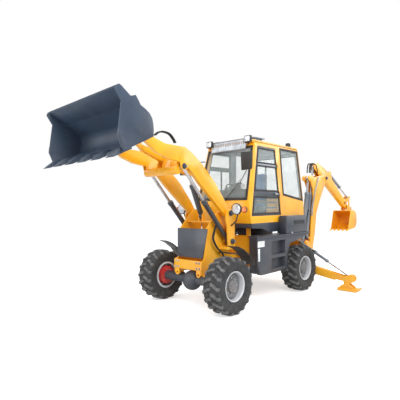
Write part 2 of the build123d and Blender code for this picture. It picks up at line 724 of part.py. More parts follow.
with BuildPart() as roof_lamps:
    for s in (1, -1):
        bar((pivot_x + 95 + run_gap, s * 545, 3328), (pivot_x + 170, s * 545, 3328), 58)
    with BuildSketch(level(cab_top_z + roof_t + run_gap)):
        with Locations((-1640, 470)):
            Circle(70)
    extrude(amount=130)
finish(roof_lamps, "roof_lamps")

with BuildPart() as mirrors:
    for s in (1, -1):
        block(40, 80, s * 663.5, s * 690, 3060, 3100)
        bar((pivot_x + 60, s * 680, 3080), (pivot_x + 640, s * 930, 3010), 12)
        bar((pivot_x + 640, s * 930, 3010), (pivot_x + 640, s * 930, 2700), 12)
        block(630, 670, s * 820, s * 1040, 2650, 3000)
finish(mirrors, "mirrors")

with BuildPart() as seat:
    block(-1050, -520, -250, 250, cab_floor_z + cab_wall, 1900)
    block(-1080, -480, -260, 260, 1900, 2050)
    slab(((-1080, 2050), (-940, 2050), (-1020, 2600), (-1120, 2600)), 0, 480)
finish(seat, "seat")

with BuildPart() as console:
    block(60, 265, -230, 230, cab_floor_z + cab_wall, 2180)
    bar((pivot_x + 60, 0, 2100), (pivot_x - 60, 0, 2330), 40)
    steer = Plane(origin=(pivot_x - 60, 0, 2330), z_dir=(-120, 0, 230))
    with BuildSketch(steer):
        Circle(210)
        Circle(180, mode=Mode.SUBTRACT)
        Rectangle(380, 26)
    extrude(amount=26)
finish(console, "console")

# digger, on a carriage that slides across the rear frame
car_x = frame_rear_x - slide_t - run_gap
lug_r = 70
with BuildPart() as shift_carriage:
    block(car_x - 50, car_x, digger_y - 230, digger_y + 230, 400, 910)
    for z0, z1 in ((880 + run_gap, 910), (400, 430 - run_gap)):
        block(car_x, frame_rear_x - 5, digger_y - 230, digger_y + 230, z0, z1)
    for z0, z1 in ((450, 510), (790, 838)):
        block(swing_x, car_x - 45, digger_y - lug_r, digger_y + lug_r, z0, z1)
        with BuildSketch(level(z0)):
            with Locations((swing_x, digger_y)):
                Circle(lug_r)
        extrude(amount=z1 - z0)
    with BuildSketch(level(450)):
        with Locations((swing_x, digger_y)):
            Circle(pin_r)
    extrude(amount=388)
finish(shift_carriage, "shift_carriage")

with BuildPart() as swing_post:
    with BuildSketch(level(510 + run_gap)):
        with Locations((swing_x, digger_y)):
            Circle(62)
    extrude(amount=280 - 2 * run_gap)
    for s in (1, -1):
        block(swing_x - 22, swing_x + 25, digger_y + s * 45, digger_y + s * 124, 515, 785)
        cheek = (
            (-2263, 515), (-2400, 515), (-2450, 530), (-2525, 565), (-2545, 640), (-2510, 740), (-2440, 900),
            (-2260, 1060), (-2160, 1075), (-2095, 1045), (-2090, 985), (-2120, 945), (-2225, 920),
            (-2375, 880), (-2375, 785), (-2263, 785),
        )
        slab(cheek, digger_y + s * (cheek_in + cheek_t + 18), 28)
    with BuildSketch(level(500)):
        with Locations((swing_x, digger_y)):
            Circle(pin_r + run_gap)
    extrude(amount=360, mode=Mode.SUBTRACT)
    pin(boom_foot, digger_y - 140, digger_y + 140, pin_r)
    pin(boom_ram_foot, digger_y - 140, digger_y + 140, pin_r)
finish(swing_post, "swing_post")

boom_cheek = (
    (-2375, 600), (-2385, 720), (-2370, 900), (-2440, 1200), (-2520, 1750), (-2620, 2150), (-2600, 2400),
    (-2480, 2590), (-2400, 2612), (-2352, 2660), (-2366, 2712), (-2430, 2742), (-2560, 2752), (-2700, 2705),
    (-3000, 2760), (-3330, 2820), (-3440, 2830),
    (-3510, 2770), (-3510, 2680), (-3320, 2540), (-3050, 2170), (-2790, 1760), (-2690, 1200), (-2590, 900),
    (-2535, 640), (-2500, 560), (-2450, 540), (-2400, 560),
)
with BuildPart() as boom:
    for s in (1, -1):
        slab(boom_cheek, digger_y + s * (cheek_in + cheek_t / 2), cheek_t)
    # the web between the cheeks stands back, so that the dipper's ram nests in front of it
    front_web = (
        (-2440, 760), (-2462, 900), (-2535, 1200), (-2615, 1750), (-2680, 2020), (-2705, 2020), (-2640, 1750),
        (-2560, 1200), (-2487, 900), (-2465, 760),
    )
    slab(front_web, digger_y, 2 * cheek_in)
    rear_web = (
        (-3180, 2350), (-3050, 2170), (-2790, 1760), (-2690, 1200), (-2590, 900), (-2560, 760), (-2535, 760),
        (-2565, 900), (-2665, 1200), (-2765, 1760), (-3025, 2170), (-3155, 2350),
    )
    slab(rear_web, digger_y, 2 * cheek_in)
    pin(boom_foot, digger_y - 95, digger_y + 95, 75)
    pin(dipper_ram_foot, digger_y - cheek_in, digger_y + cheek_in, small_pin_r)
    pin(dipper_pin, digger_y - cheek_in - cheek_t - 8, digger_y + cheek_in + cheek_t + 8, pin_r)
    pin(boom_foot, digger_y - 100, digger_y + 100, pin_r + run_gap, Mode.SUBTRACT)
finish(boom, "boom")

with BuildPart() as boom_barrel:
    ram_barrel(at(boom_ram_foot, digger_y), at(boom_ram_eye, digger_y), across, 1330, 52, 30, 60, 130, pin_r)
finish(boom_barrel, "boom_barrel")
with BuildPart() as boom_rod:
    ram_rod(at(boom_ram_foot, digger_y), at(boom_ram_eye, digger_y), across, 1240, 30, 52, 2 * cheek_in - 10)
finish(boom_rod, "boom_rod")

dip_half = 60
with BuildPart() as dipper:
    for s in (1, -1):
        outline = (
            (-2750, 3070), (-2740, 2950), (-2860, 2900), (-3350, 2580), (-3480, 2590), (-4700, 1930),
            (-4860, 1860), (-4960, 1825), (-5010, 1880), (-4990, 1950), (-4720, 2140), (-3870, 2700),
            (-3800, 2900), (-3750, 2940), (-3690, 2925), (-3650, 2850), (-3450, 2960), (-2980, 3110),
        )
        slab(outline, digger_y + s * (dip_half - 8), 16)
    top = (
        (-4640, 2190), (-3840, 2718), (-3450, 2960), (-3150, 3055), (-3150, 3035), (-3460, 2940),
        (-3850, 2698), (-4650, 2170),
    )
    slab(top, digger_y, 2 * dip_half)
    underside = ((-3350, 2600), (-3480, 2610), (-4700, 1950), (-4700, 1930), (-3480, 2590), (-3350, 2580))
    slab(underside, digger_y, 2 * dip_half)
    pin(dipper_pin, digger_y - cheek_in + run_gap, digger_y + cheek_in - run_gap, 75)
    pin(dig_ram_foot, digger_y - dip_half, digger_y + dip_half, small_pin_r)
    pin(lever_foot, digger_y - 92, digger_y + 92, small_pin_r)
    pin(dig_bucket_pin, digger_y - 60, digger_y + 60, 58)
    pin(dipper_pin, digger_y - 80, digger_y + 80, pin_r + run_gap, Mode.SUBTRACT)
    pin(dig_bucket_pin, digger_y - 80, digger_y + 80, small_pin_r + run_gap, Mode.SUBTRACT)
finish(dipper, "dipper")

with BuildPart() as dipper_barrel:
    foot, eye = at(dipper_ram_foot, digger_y), at(dipper_ram_eye, digger_y)
    ram_barrel(foot, eye, across, 1190, 42, 24, 44, 2 * cheek_in - 10, small_pin_r)
finish(dipper_barrel, "dipper_barrel")
with BuildPart() as dipper_rod:
    ram_rod(foot, eye, across, 1230, 24, 38, 80)
finish(dipper_rod, "dipper_rod")

with BuildPart() as dig_barrel:
    foot, eye = at(dig_ram_foot, digger_y), at(lever_top, digger_y)
    ram_barrel(foot, eye, across, 870, 38, 24, 40, 80, small_pin_r)
finish(dig_barrel, "dig_barrel")
with BuildPart() as dig_rod:
    ram_rod(foot, eye, across, 1020, 24, 38, 50)
finish(dig_rod, "dig_rod")

with BuildPart() as tipping_lever:
    for s in (1, -1):
        outline = ((-4715, 2065), (-4700, 2005), (-4760, 1990), (-5120, 2160), (-5140, 2220), (-5085, 2240))
        slab(outline, digger_y + s * (dip_half + 4 + 8), 16)
    pin(lever_top, digger_y - 76, digger_y - 30, 24)
    pin(lever_top, digger_y + 30, digger_y + 76, 24)
    pin(lever_foot, digger_y - 100, digger_y + 100, small_pin_r + run_gap, Mode.SUBTRACT)
finish(tipping_lever, "tipping_lever")

with BuildPart() as push_link:
    for s in (1, -1):
        outline = ((-5065, 2220), (-5135, 2220), (-5175, 1850), (-5140, 1810), (-5105, 1850))
        slab(outline, digger_y + s * 44, 18)
    pin(push_pin, digger_y - 52, digger_y + 52, 30)
    pin(lever_top, digger_y - 90, digger_y + 90, 24 + run_gap, Mode.SUBTRACT)
finish(push_link, "push_link")

dig_path = ((-4690, 1790), (-4940, 1800), (-5150, 1640), (-5150, 1400), (-4960, 1250), (-4480, 1215))
dig_cheek = (
    (-4690, 1790), (-4940, 1800), (-5105, 1720), (-5150, 1600), (-5150, 1430), (-5080, 1300), (-4960, 1250),
    (-4480, 1215),
)
dig_wall = 12
dig_teeth = 5
with BuildPart() as dig_bucket:
    with BuildSketch(side(digger_y + dig_half)):
        with BuildLine():
            FilletPolyline(*dig_path, radius=90)
            offset(amount=dig_wall, side=Side.LEFT)
        make_face()
    extrude(amount=2 * dig_half)
    for s in (1, -1):
        slab(dig_cheek, digger_y + s * (dig_half - dig_wall / 2), dig_wall)
        ear = (
            (-4860, 1795), (-4870, 1930), (-4920, 1960), (-4980, 1930), (-5090, 1900), (-5180, 1890),
            (-5190, 1820), (-5110, 1720), (-4960, 1795),
        )
        slab(ear, digger_y + s * 92, 20)
    pin(dig_bucket_pin, digger_y - 105, digger_y + 105, small_pin_r)
    for i in range(dig_teeth):
        y = digger_y + (2 * i / (dig_teeth - 1) - 1) * (dig_half - 25)
        tooth = ((-4560, 1218), (-4480, 1212), (-4395, 1180), (-4400, 1196), (-4480, 1240), (-4560, 1244))
        slab(tooth, y, 45)
finish(dig_bucket, "dig_bucket")

# stabilisers
for label, s in (("left", 1), ("right", -1)):
    with BuildPart() as leg:
        outline = (
            (s * 340, 640), (s * 400, 690), (s * 1050, 478), (s * 1760, 330), (s * 1850, 372),
            (s * 1925, 374), (s * 1975, 335), (s * 1982, 268), (s * 1935, 208), (s * 1860, 180),
            (s * 1845, 95), (s * 1790, 68), (s * 1738, 95), (s * 1715, 215), (s * 1560, 232),
            (s * 1500, 212), (s * 1040, 290), (s * 380, 545),
        )
        wall(outline, leg_x - leg_t / 2, leg_t)
        # slot that the ram folds into
        slot = (
            (s * 1380, 520), (s * 1380, 400), (s * 1640, 305), (s * 1760, 255), (s * 1765, 170),
            (s * 2000, 170), (s * 2000, 520),
        )
        wall(slot, leg_x - leg_slot / 2, leg_slot, Mode.SUBTRACT)
        cross_bar((s * leg_foot[0], leg_foot[1]), leg_x, leg_t + 4, pin_r + run_gap, Mode.SUBTRACT)
        cross_bar((s * pad_pin[0], pad_pin[1]), leg_x, leg_t + 50, 24)
    finish(leg, "leg_" + label)
    with BuildPart() as pad:
        sole = (
            (s * 1612, 10), (s * 2030, 10), (s * 2068, 62), (s * 2058, 88), (s * 2010, 62), (s * 1935, 58),
            (s * 1640, 58), (s * 1612, 72),
        )
        wall(sole, leg_x - 150, 300)
        for x in (leg_x - leg_t / 2 - 22, leg_x + leg_t / 2 + 2):
            cheek = (
                (s * 1640, 40), (s * 1960, 40), (s * 1945, 100), (s * 1835, 165), (s * 1790, 182),
                (s * 1745, 165), (s * 1650, 100),
            )
            wall(cheek, x, 20)
        cross_bar((s * pad_pin[0], pad_pin[1]), leg_x, leg_t + 60, 24 + run_gap, Mode.SUBTRACT)
    finish(pad, "pad_" + label)
    foot = Vector(pivot_x + leg_x, s * leg_ram_foot[0], leg_ram_foot[1])
    eye = Vector(pivot_x + leg_x, s * leg_ram_eye[0], leg_ram_eye[1])
    with BuildPart() as leg_barrel:
        ram_barrel(foot, eye, along, 930, 34, 22, 40, 60, small_pin_r)
    finish(leg_barrel, "leg_barrel_" + label)
    with BuildPart() as leg_rod:
        ram_rod(foot, eye, along, 860, 22, 38, 56)
    finish(leg_rod, "leg_rod_" + label)
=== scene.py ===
import json
import math

import bmesh
import bpy
from mathutils import Matrix, Vector


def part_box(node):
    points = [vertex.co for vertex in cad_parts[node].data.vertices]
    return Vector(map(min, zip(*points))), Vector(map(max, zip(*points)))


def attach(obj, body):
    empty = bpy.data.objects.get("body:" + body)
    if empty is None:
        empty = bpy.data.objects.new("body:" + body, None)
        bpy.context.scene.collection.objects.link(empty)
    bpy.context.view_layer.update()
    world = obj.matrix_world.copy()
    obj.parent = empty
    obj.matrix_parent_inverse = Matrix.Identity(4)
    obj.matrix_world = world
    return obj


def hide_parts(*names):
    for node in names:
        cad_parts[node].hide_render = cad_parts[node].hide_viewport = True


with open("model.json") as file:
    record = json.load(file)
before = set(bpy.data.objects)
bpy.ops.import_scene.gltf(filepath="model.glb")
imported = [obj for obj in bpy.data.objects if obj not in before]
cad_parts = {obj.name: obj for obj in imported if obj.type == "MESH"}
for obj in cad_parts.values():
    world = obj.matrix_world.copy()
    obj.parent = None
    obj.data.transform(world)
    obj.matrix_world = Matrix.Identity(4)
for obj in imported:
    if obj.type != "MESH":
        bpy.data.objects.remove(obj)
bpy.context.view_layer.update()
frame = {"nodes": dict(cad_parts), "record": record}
nodes = frame["nodes"]
bodyOfNode = {n: b for b, ns in frame["record"]["behaviour"]["bodies"].items() for n in ns}
pivotX = 0.67  # the articulation pivot; places below count x from it
print("frame loaded")


class Wire:
    # one socket, so that shader maths reads as arithmetic
    def __init__(self, finish, socket):
        self.finish, self.socket = finish, socket

    def __add__(self, other):
        return self.finish.maths("ADD", self, other)

    def __radd__(self, other):
        return self.finish.maths("ADD", other, self)

    def __sub__(self, other):
        return self.finish.maths("SUBTRACT", self, other)

    def __rsub__(self, other):
        return self.finish.maths("SUBTRACT", other, self)

    def __mul__(self, other):
        return self.finish.maths("MULTIPLY", self, other)

    def __rmul__(self, other):
        return self.finish.maths("MULTIPLY", other, self)

    def __truediv__(self, other):
        return self.finish.maths("DIVIDE", self, other)

    def __gt__(self, other):
        return self.finish.maths("GREATER_THAN", self, other)

    def __lt__(self, other):
        return self.finish.maths("LESS_THAN", self, other)

    def __mod__(self, other):
        return self.finish.maths("FLOORED_MODULO", self, other)

    def __abs__(self):
        return self.finish.maths("ABSOLUTE", self)


class Finish:
    # one material and its node tree
    def __init__(self, name):
        self.material = bpy.data.materials.new(name)
        self.material.use_nodes = True
        self.tree = self.material.node_tree
        self.tree.nodes.clear()
        self.end = self.tree.nodes.new("ShaderNodeOutputMaterial")

    def node(self, kind, settings=None, stops=None, out=0, **values):
        made = self.tree.nodes.new("ShaderNode" + kind)
        for key, value in (settings or {}).items():
            setattr(made, key, value)
        if stops:
            ramp = made.color_ramp
            while len(ramp.elements) > len(stops):
                ramp.elements.remove(ramp.elements[-1])
            while len(ramp.elements) < len(stops):
                ramp.elements.new(1.0)
            for element, (place, colour) in zip(ramp.elements, stops):
                element.position = place
                element.color = (*colour, 1.0) if isinstance(colour, tuple) else (colour, colour, colour, 1.0)
        for key, value in values.items():
            numbered = key[0] == "i" and key[1:].isdigit()
            slot = made.inputs[int(key[1:]) if numbered else key.replace("_", " ")]
            self.plug(slot, value)
        return Wire(self, made.outputs[out])

    def plug(self, slot, value):
        if isinstance(value, Wire):
            self.tree.links.new(value.socket, slot)
        elif isinstance(value, tuple) and len(value) == 3 and slot.type == "RGBA":
            slot.default_value = (*value, 1.0)
        else:
            slot.default_value = value

    def maths(self, operation, first, second=0.0):
        return self.node("Math", {"operation": operation}, i0=first, i1=second)

    def clamp(self, value):
        return self.node("Clamp", Value=value)

    def smooth(self, value, low, high):
        settings = {"interpolation_type": "SMOOTHSTEP"}
        return self.node("MapRange", settings, Value=value, From_Min=low, From_Max=high)

    def mix(self, factor, first, second):
        return self.node("Mix", {"data_type": "RGBA"}, out=2, i0=factor, i6=first, i7=second)

    def place(self):
        return self.node("TexCoord", out=3)

    def axis(self, index):
        return self.node("SeparateXYZ", out=index, Vector=self.place())

    def stretched(self, x, y, z):
        return self.node("Mapping", Vector=self.place(), Scale=(x, y, z))

    def noise(self, scale, detail=4.0, rough=0.55, vector=None):
        vector = vector or self.place()
        return self.node("TexNoise", Vector=vector, Scale=scale, Detail=detail, Roughness=rough)

    def bump(self, height, strength=0.3, distance=0.001, under=None):
        values = {"Height": height, "Strength": strength, "Distance": distance}
        if under:
            values["Normal"] = under
        return self.node("Bump", **values)

    def close(self, **values):
        shader = self.node("BsdfPrincipled", **values)
        self.tree.links.new(shader.socket, self.end.inputs["Surface"])
        return self.material


def srgb(r, g, b):
    # a colour written as it looks, 0 to 255
    return tuple((c / 255 / 12.92) if c <= 10 else ((c / 255 + 0.055) / 1.055) ** 2.4 for c in (r, g, b))


def dusting(f, low, high, amount):
    # dust that thickens towards the ground and in cloudy patches
    height = 1 - f.smooth(f.axis(2), low, high)
    cloud = f.smooth(f.noise(3.5, 6.0, 0.62), 0.42, 0.72)
    fine = f.smooth(f.noise(38.0, 3.0, 0.6), 0.35, 0.75)
    return f.clamp((height * 0.75 + 0.18) * (cloud * 0.7 + 0.3) * (fine * 0.5 + 0.5) * amount)


dustColour = srgb(168, 156, 136)


def paintFinish(name, colour, darker, dust=0.35, roughness=0.3, coat=0.35, peel=0.12):
    f = Finish(name)
    shade = f.mix(f.smooth(f.noise(1.6, 3.0), 0.35, 0.7), colour, darker)
    streaks = f.smooth(f.noise(9.0, 4.0, 0.6, f.stretched(1.0, 1.0, 0.12)), 0.56, 0.8)
    shade = f.mix(streaks * 0.18, shade, tuple(c * 0.62 for c in colour))
    dirt = dusting(f, 0.2, 2.4, dust)
    chips = f.smooth(f.noise(85.0, 2.0, 0.5), 0.735, 0.75) * f.smooth(f.noise(6.0, 2.0), 0.5, 0.62)
    shade = f.mix(dirt, shade, dustColour)
    shade = f.mix(chips * 0.7, shade, srgb(70, 62, 54))
    grain = f.noise(260.0, 2.0, 0.5)
    waves = f.noise(14.0, 2.0, 0.5)
    return f.close(
        Base_Color=shade,
        Roughness=f.clamp(dirt * 0.5 + f.noise(22.0, 3.0) * 0.12 + (roughness - 0.06)),
        Coat_Weight=f.clamp(coat - dirt * 0.6),
        Coat_Roughness=0.12,
        Normal=f.bump(waves * 0.6 + grain * 0.06, peel, 0.002),
    )


def castFinish(name, colour, dust=0.5):
    # paint over a rough casting
    f = Finish(name)
    dirt = dusting(f, 0.1, 1.6, dust)
    shade = f.mix(f.smooth(f.noise(7.0, 5.0), 0.35, 0.7), colour, tuple(c * 0.6 for c in colour))
    pits = f.noise(120.0, 4.0, 0.7)
    return f.close(
        Base_Color=f.mix(dirt, shade, dustColour),
        Roughness=f.clamp(0.42 + dirt * 0.4 + f.noise(30.0) * 0.1),
        Normal=f.bump(pits, 0.35, 0.002),
    )


def rubberFinish(name, light, dark, dust=0.75):
    f = Finish(name)
    film = dusting(f, -0.5, 1.4, dust)
    mottled = f.mix(f.smooth(f.noise(11.0, 6.0, 0.65), 0.35, 0.7), dark, light)
    shade = f.mix(film * 0.8, mottled, srgb(128, 124, 118))
    return f.close(
        Base_Color=shade,
        Roughness=f.clamp(0.62 + f.noise(40.0) * 0.25),
        Specular_IOR_Level=0.35,
        Normal=f.bump(f.noise(160.0, 4.0, 0.7), 0.4, 0.0012),
    )


def plasticFinish(name, colour, roughness=0.5, grainScale=420.0):
    f = Finish(name)
    film = dusting(f, 0.2, 3.0, 0.35)
    shade = f.mix(f.smooth(f.noise(5.0, 3.0), 0.4, 0.7), colour, tuple(c * 1.4 + 0.004 for c in colour))
    return f.close(
        Base_Color=f.mix(film, shade, dustColour),
        Roughness=f.clamp(roughness + film * 0.4 + f.noise(18.0) * 0.08),
        Normal=f.bump(f.noise(grainScale, 2.0), 0.35, 0.0006),
    )


def chromeFinish():
    f = Finish("chromedRod")
    rings = f.noise(60.0, 3.0, 0.5, f.stretched(1.0, 1.0, 0.2))
    oil = f.smooth(f.noise(9.0, 4.0), 0.45, 0.75)
    return f.close(
        Base_Color=f.mix(oil * 0.5, srgb(206, 206, 208), srgb(140, 136, 128)),
        Metallic=0.92,
        Roughness=f.clamp(0.2 + oil * 0.2 + rings * 0.06),
        Normal=f.bump(rings, 0.06, 0.0006),
    )


def glassFinish():
    f = Finish("cabGlass")
    smears = f.smooth(f.noise(4.0, 6.0, 0.6), 0.45, 0.8)
    clear = f.node(
        "BsdfPrincipled",
        Base_Color=srgb(214, 228, 226),
        Roughness=f.clamp(smears * 0.05 + 0.015),
        IOR=1.45,
        Transmission_Weight=0.0,
        Alpha=f.clamp(smears * 0.08 + 0.14),
        Specular_IOR_Level=0.3,
    )
    f.tree.links.new(clear.socket, f.end.inputs["Surface"])
    return f.material


def perforatedFinish():
    # bright sheet with rows of small round holes, staggered
    f = Finish("perforatedSheet")
    pitch = 0.05
    row = f.axis(1) / pitch
    line = f.axis(0) / pitch
    stagger = (f.maths("FLOOR", line) % 2.0) * 0.5
    u = (row + stagger) % 1.0 - 0.5
    v = line % 1.0 - 0.5
    hole = (u * u + v * v) < 0.058
    shade = f.mix(f.smooth(f.noise(6.0), 0.3, 0.7), srgb(216, 220, 224), srgb(176, 182, 188))
    return f.close(
        # the holes are see-through, and their near-black tint is painted shade inside them
        Base_Color=f.mix(hole, shade, srgb(28, 32, 36)),
        Metallic=0.35,
        Roughness=f.clamp(0.38 + f.noise(20.0) * 0.1 + hole * 0.3),
        Alpha=f.clamp(1 - hole * 0.85),
        Normal=f.bump(1 - hole, 0.5, 0.003),
    )


def cabFinish(name, colour, darker, liner):
    # yellow outside and pale trim inside: the trim starts a little under the cab's outer faces
    f = Finish(name)
    x, y, z = f.axis(0), f.axis(1), f.axis(2)
    sideDepth = (cabForm["halfAtFloor"] - (z - cabForm["floor"]) * cabForm["lean"]) - abs(y)
    rise = f.maths("MAXIMUM", z - cabForm["screenFootHeight"], 0.0)
    frontDepth = (cabForm["screenFoot"] - rise * cabForm["screenLean"]) - x
    within = (sideDepth > cabForm["trimDepth"]) * (frontDepth > cabForm["frontDepth"])
    within = within * (x > cabForm["rear"]) * (z > cabForm["floor"] + cabForm["trimDepth"])
    shade = f.mix(f.smooth(f.noise(1.6, 3.0), 0.35, 0.7), colour, darker)
    dirt = dusting(f, 0.2, 2.4, 0.25)
    shade = f.mix(dirt, shade, dustColour)
    trim = f.mix(f.smooth(f.noise(4.0), 0.3, 0.7), liner, tuple(c * 0.8 for c in liner))
    return f.close(
        Base_Color=f.mix(within, shade, trim),
        Roughness=f.clamp(dirt * 0.5 + f.noise(22.0, 3.0) * 0.12 + within * 0.3 + 0.24),
        Coat_Weight=f.clamp(0.35 - dirt * 0.6 - within),
        Coat_Roughness=0.12,
        Normal=f.bump(f.noise(14.0, 2.0, 0.5), 0.12, 0.002),
    )


def wornFinish(name, colour, darker, scraped, lipPlace, lipDepth):
    # paint that earth has rubbed bright towards the cutting edge, in streaks along the floor
    f = Finish(name)
    shade = f.mix(f.smooth(f.noise(2.2, 4.0), 0.35, 0.7), colour, darker)
    streaks = f.noise(7.0, 6.0, 0.7, f.stretched(0.35, 3.5, 0.35))
    nearLip = f.smooth(f.axis(0) - f.axis(2) * 0.9, lipPlace - lipDepth, lipPlace)
    scratches = f.smooth(f.noise(22.0, 5.0, 0.75, f.stretched(0.3, 4.0, 0.6)), 0.6, 0.68)
    worn = f.clamp(f.smooth(streaks + nearLip * 0.3, 0.78, 0.98) * nearLip * 0.5 + scratches * 0.1)
    dirt = dusting(f, 2.2, 3.4, 0.25)
    shade = f.mix(dirt, shade, dustColour)
    return f.close(
        Base_Color=f.mix(worn, shade, scraped),
        Metallic=f.clamp(worn * 0.45),
        Roughness=f.clamp(0.42 - worn * 0.08 + f.noise(30.0) * 0.12),
        Coat_Weight=f.clamp(0.12 - worn * 0.12),
        Normal=f.bump(f.noise(16.0, 3.0) * 0.7 + worn * 0.2, 0.18, 0.003),
    )


def lensFinish(name, colour, rim):
    # a ribbed lamp glass over a bright bowl
    f = Finish(name)
    ribs = f.node("TexWave", {"bands_direction": "Y"}, Vector=f.place(), Scale=24.0, Distortion=0.0)
    shade = f.mix(f.smooth(f.noise(14.0), 0.35, 0.75), colour, rim)
    return f.close(
        Base_Color=f.mix(ribs * 0.35, shade, rim),
        Metallic=0.25,
        Roughness=f.clamp(0.12 + f.noise(30.0) * 0.06),
        Coat_Weight=1.0,
        Coat_Roughness=0.04,
        Normal=f.bump(ribs, 0.25, 0.002),
    )


def clothFinish(name, colour, darker):
    f = Finish(name)
    weave = f.noise(520.0, 2.0, 0.5)
    shade = f.mix(f.smooth(f.noise(5.0, 4.0), 0.35, 0.7), colour, darker)
    return f.close(
        Base_Color=f.mix(weave * 0.3, shade, darker),
        Roughness=f.clamp(0.8 + weave * 0.1),
        Sheen_Weight=0.25,
        Normal=f.bump(weave, 0.5, 0.0008),
    )


# the cab's outer faces, in the frame's own lengths
cabForm = {
    "halfAtFloor": 0.74, "floor": 1.6, "lean": 0.0526, "trimDepth": 0.03, "frontDepth": 0.2, "rear": -1.2,
    "screenFoot": 1.065, "screenFootHeight": 2.075, "screenLean": 0.2713,
}
yellow = paintFinish("yellowPaint", srgb(252, 182, 24), srgb(244, 164, 18), dust=0.3, coat=0.2)
slate = paintFinish("slatePaint", srgb(54, 61, 73), srgb(44, 50, 61), dust=0.16, roughness=0.36, coat=0.2)
cabYellow = cabFinish("cabPaint", srgb(252, 184, 26), srgb(244, 166, 20), srgb(176, 180, 184))
bucketSlate = wornFinish(
    "bucketPaint", srgb(44, 62, 84), srgb(34, 50, 70), srgb(132, 140, 152), lipPlace=1.86, lipDepth=0.75
)
blackPaint = paintFinish("blackPaint", srgb(30, 31, 33), srgb(22, 23, 25), dust=0.3, roughness=0.4, coat=0.1)
castGrey = castFinish("castGrey", srgb(50, 58, 72), dust=0.35)
rubber = rubberFinish("tyreRubber", srgb(62, 63, 65), srgb(42, 43, 45), dust=0.5)
treadRubber = rubberFinish("treadRubber", srgb(112, 112, 112), srgb(84, 84, 85))
hoseRubber = rubberFinish("hoseRubber", srgb(40, 40, 42), srgb(26, 26, 28), dust=0.3)
blackPlastic = plasticFinish("blackPlastic", srgb(28, 29, 31))
rimSilver = paintFinish(
    "rimSilver", srgb(204, 206, 210), srgb(178, 181, 186), dust=0.25, roughness=0.32, coat=0.3
)
ramTube = paintFinish("ramTube", srgb(58, 63, 72), srgb(44, 48, 56), dust=0.15, roughness=0.3, coat=0.4)
chrome = chromeFinish()
glass = glassFinish()
perforated = perforatedFinish()
redPaint = paintFinish("redPaint", srgb(206, 42, 46), srgb(176, 30, 36), dust=0.2)
ramGrey = paintFinish("ramGrey", srgb(128, 137, 147), srgb(108, 116, 126), dust=0.2, roughness=0.34, coat=0.3)
discGrey = paintFinish("rimDisc", srgb(104, 106, 112), srgb(84, 86, 92), dust=0.4, roughness=0.45, coat=0.1)
bandGrey = paintFinish(
    "bandGrey", srgb(150, 156, 166), srgb(134, 140, 150), dust=0.1, roughness=0.4, coat=0.1
)
bareSteel = paintFinish(
    "zincSteel", srgb(176, 178, 180), srgb(138, 140, 142), dust=0.25, roughness=0.36, coat=0.0
)
whitePlate = plasticFinish("whitePlate", srgb(226, 228, 230), 0.4)
lampGlass = lensFinish("lampGlass", srgb(232, 236, 240), srgb(170, 176, 184))
amberGlass = lensFinish("amberGlass", srgb(255, 140, 20), srgb(214, 96, 8))
sealRubber = plasticFinish("sealRubber", srgb(24, 25, 27), 0.62, 300.0)
blueCloth = clothFinish("seatCloth", srgb(48, 104, 176), srgb(30, 74, 136))
print("finishes made")


def settle(name, mesh, node, finish, slotName=None, replaced=()):
    # a finished piece: at the origin, riding on the body that the CAD node rides on
    piece = bpy.data.objects.new(name, mesh)
    bpy.context.scene.collection.objects.link(piece)
    if finish:
        mesh.materials.clear()
        mesh.materials.append(finish)
    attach(piece, bodyOfNode.get(node, node))
    slotName or slotOf[bodyNode(node)]
    if replaced:
        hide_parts(*replaced)
    return piece


slotOf = {row["node"]: row["material_slot"] for row in frame["record"]["subparts"]}


def bodyNode(name):
    return name if name in slotOf else frame["record"]["behaviour"]["bodies"][name][0]


def baked(piece):
    # the evaluated object as a plain mesh
    graph = bpy.context.evaluated_depsgraph_get()
    return bpy.data.meshes.new_from_object(piece.evaluated_get(graph))


def softened(node, finish, width=0.004):
    # a CAD node with its edges rounded over
    bm = bmesh.new()
    bm.from_mesh(nodes[node].data)
    bmesh.ops.transform(bm, matrix=nodes[node].matrix_world, verts=bm.verts)
    bmesh.ops.remove_doubles(bm, verts=bm.verts, dist=1e-5)
    bmesh.ops.dissolve_limit(bm, angle_limit=math.radians(0.6), verts=bm.verts, edges=bm.edges)
    mesh = bpy.data.meshes.new(node + "Soft")
    bm.to_mesh(mesh)
    bm.free()
    label = node.replace("_", " ").title().replace(" ", "")
    return settle(label, rounded(mesh, width), node, finish, replaced=(node,))


def spot(x, y, z):
    # a place whose x is counted from the articulation pivot
    return Vector((pivotX + x, y, z))


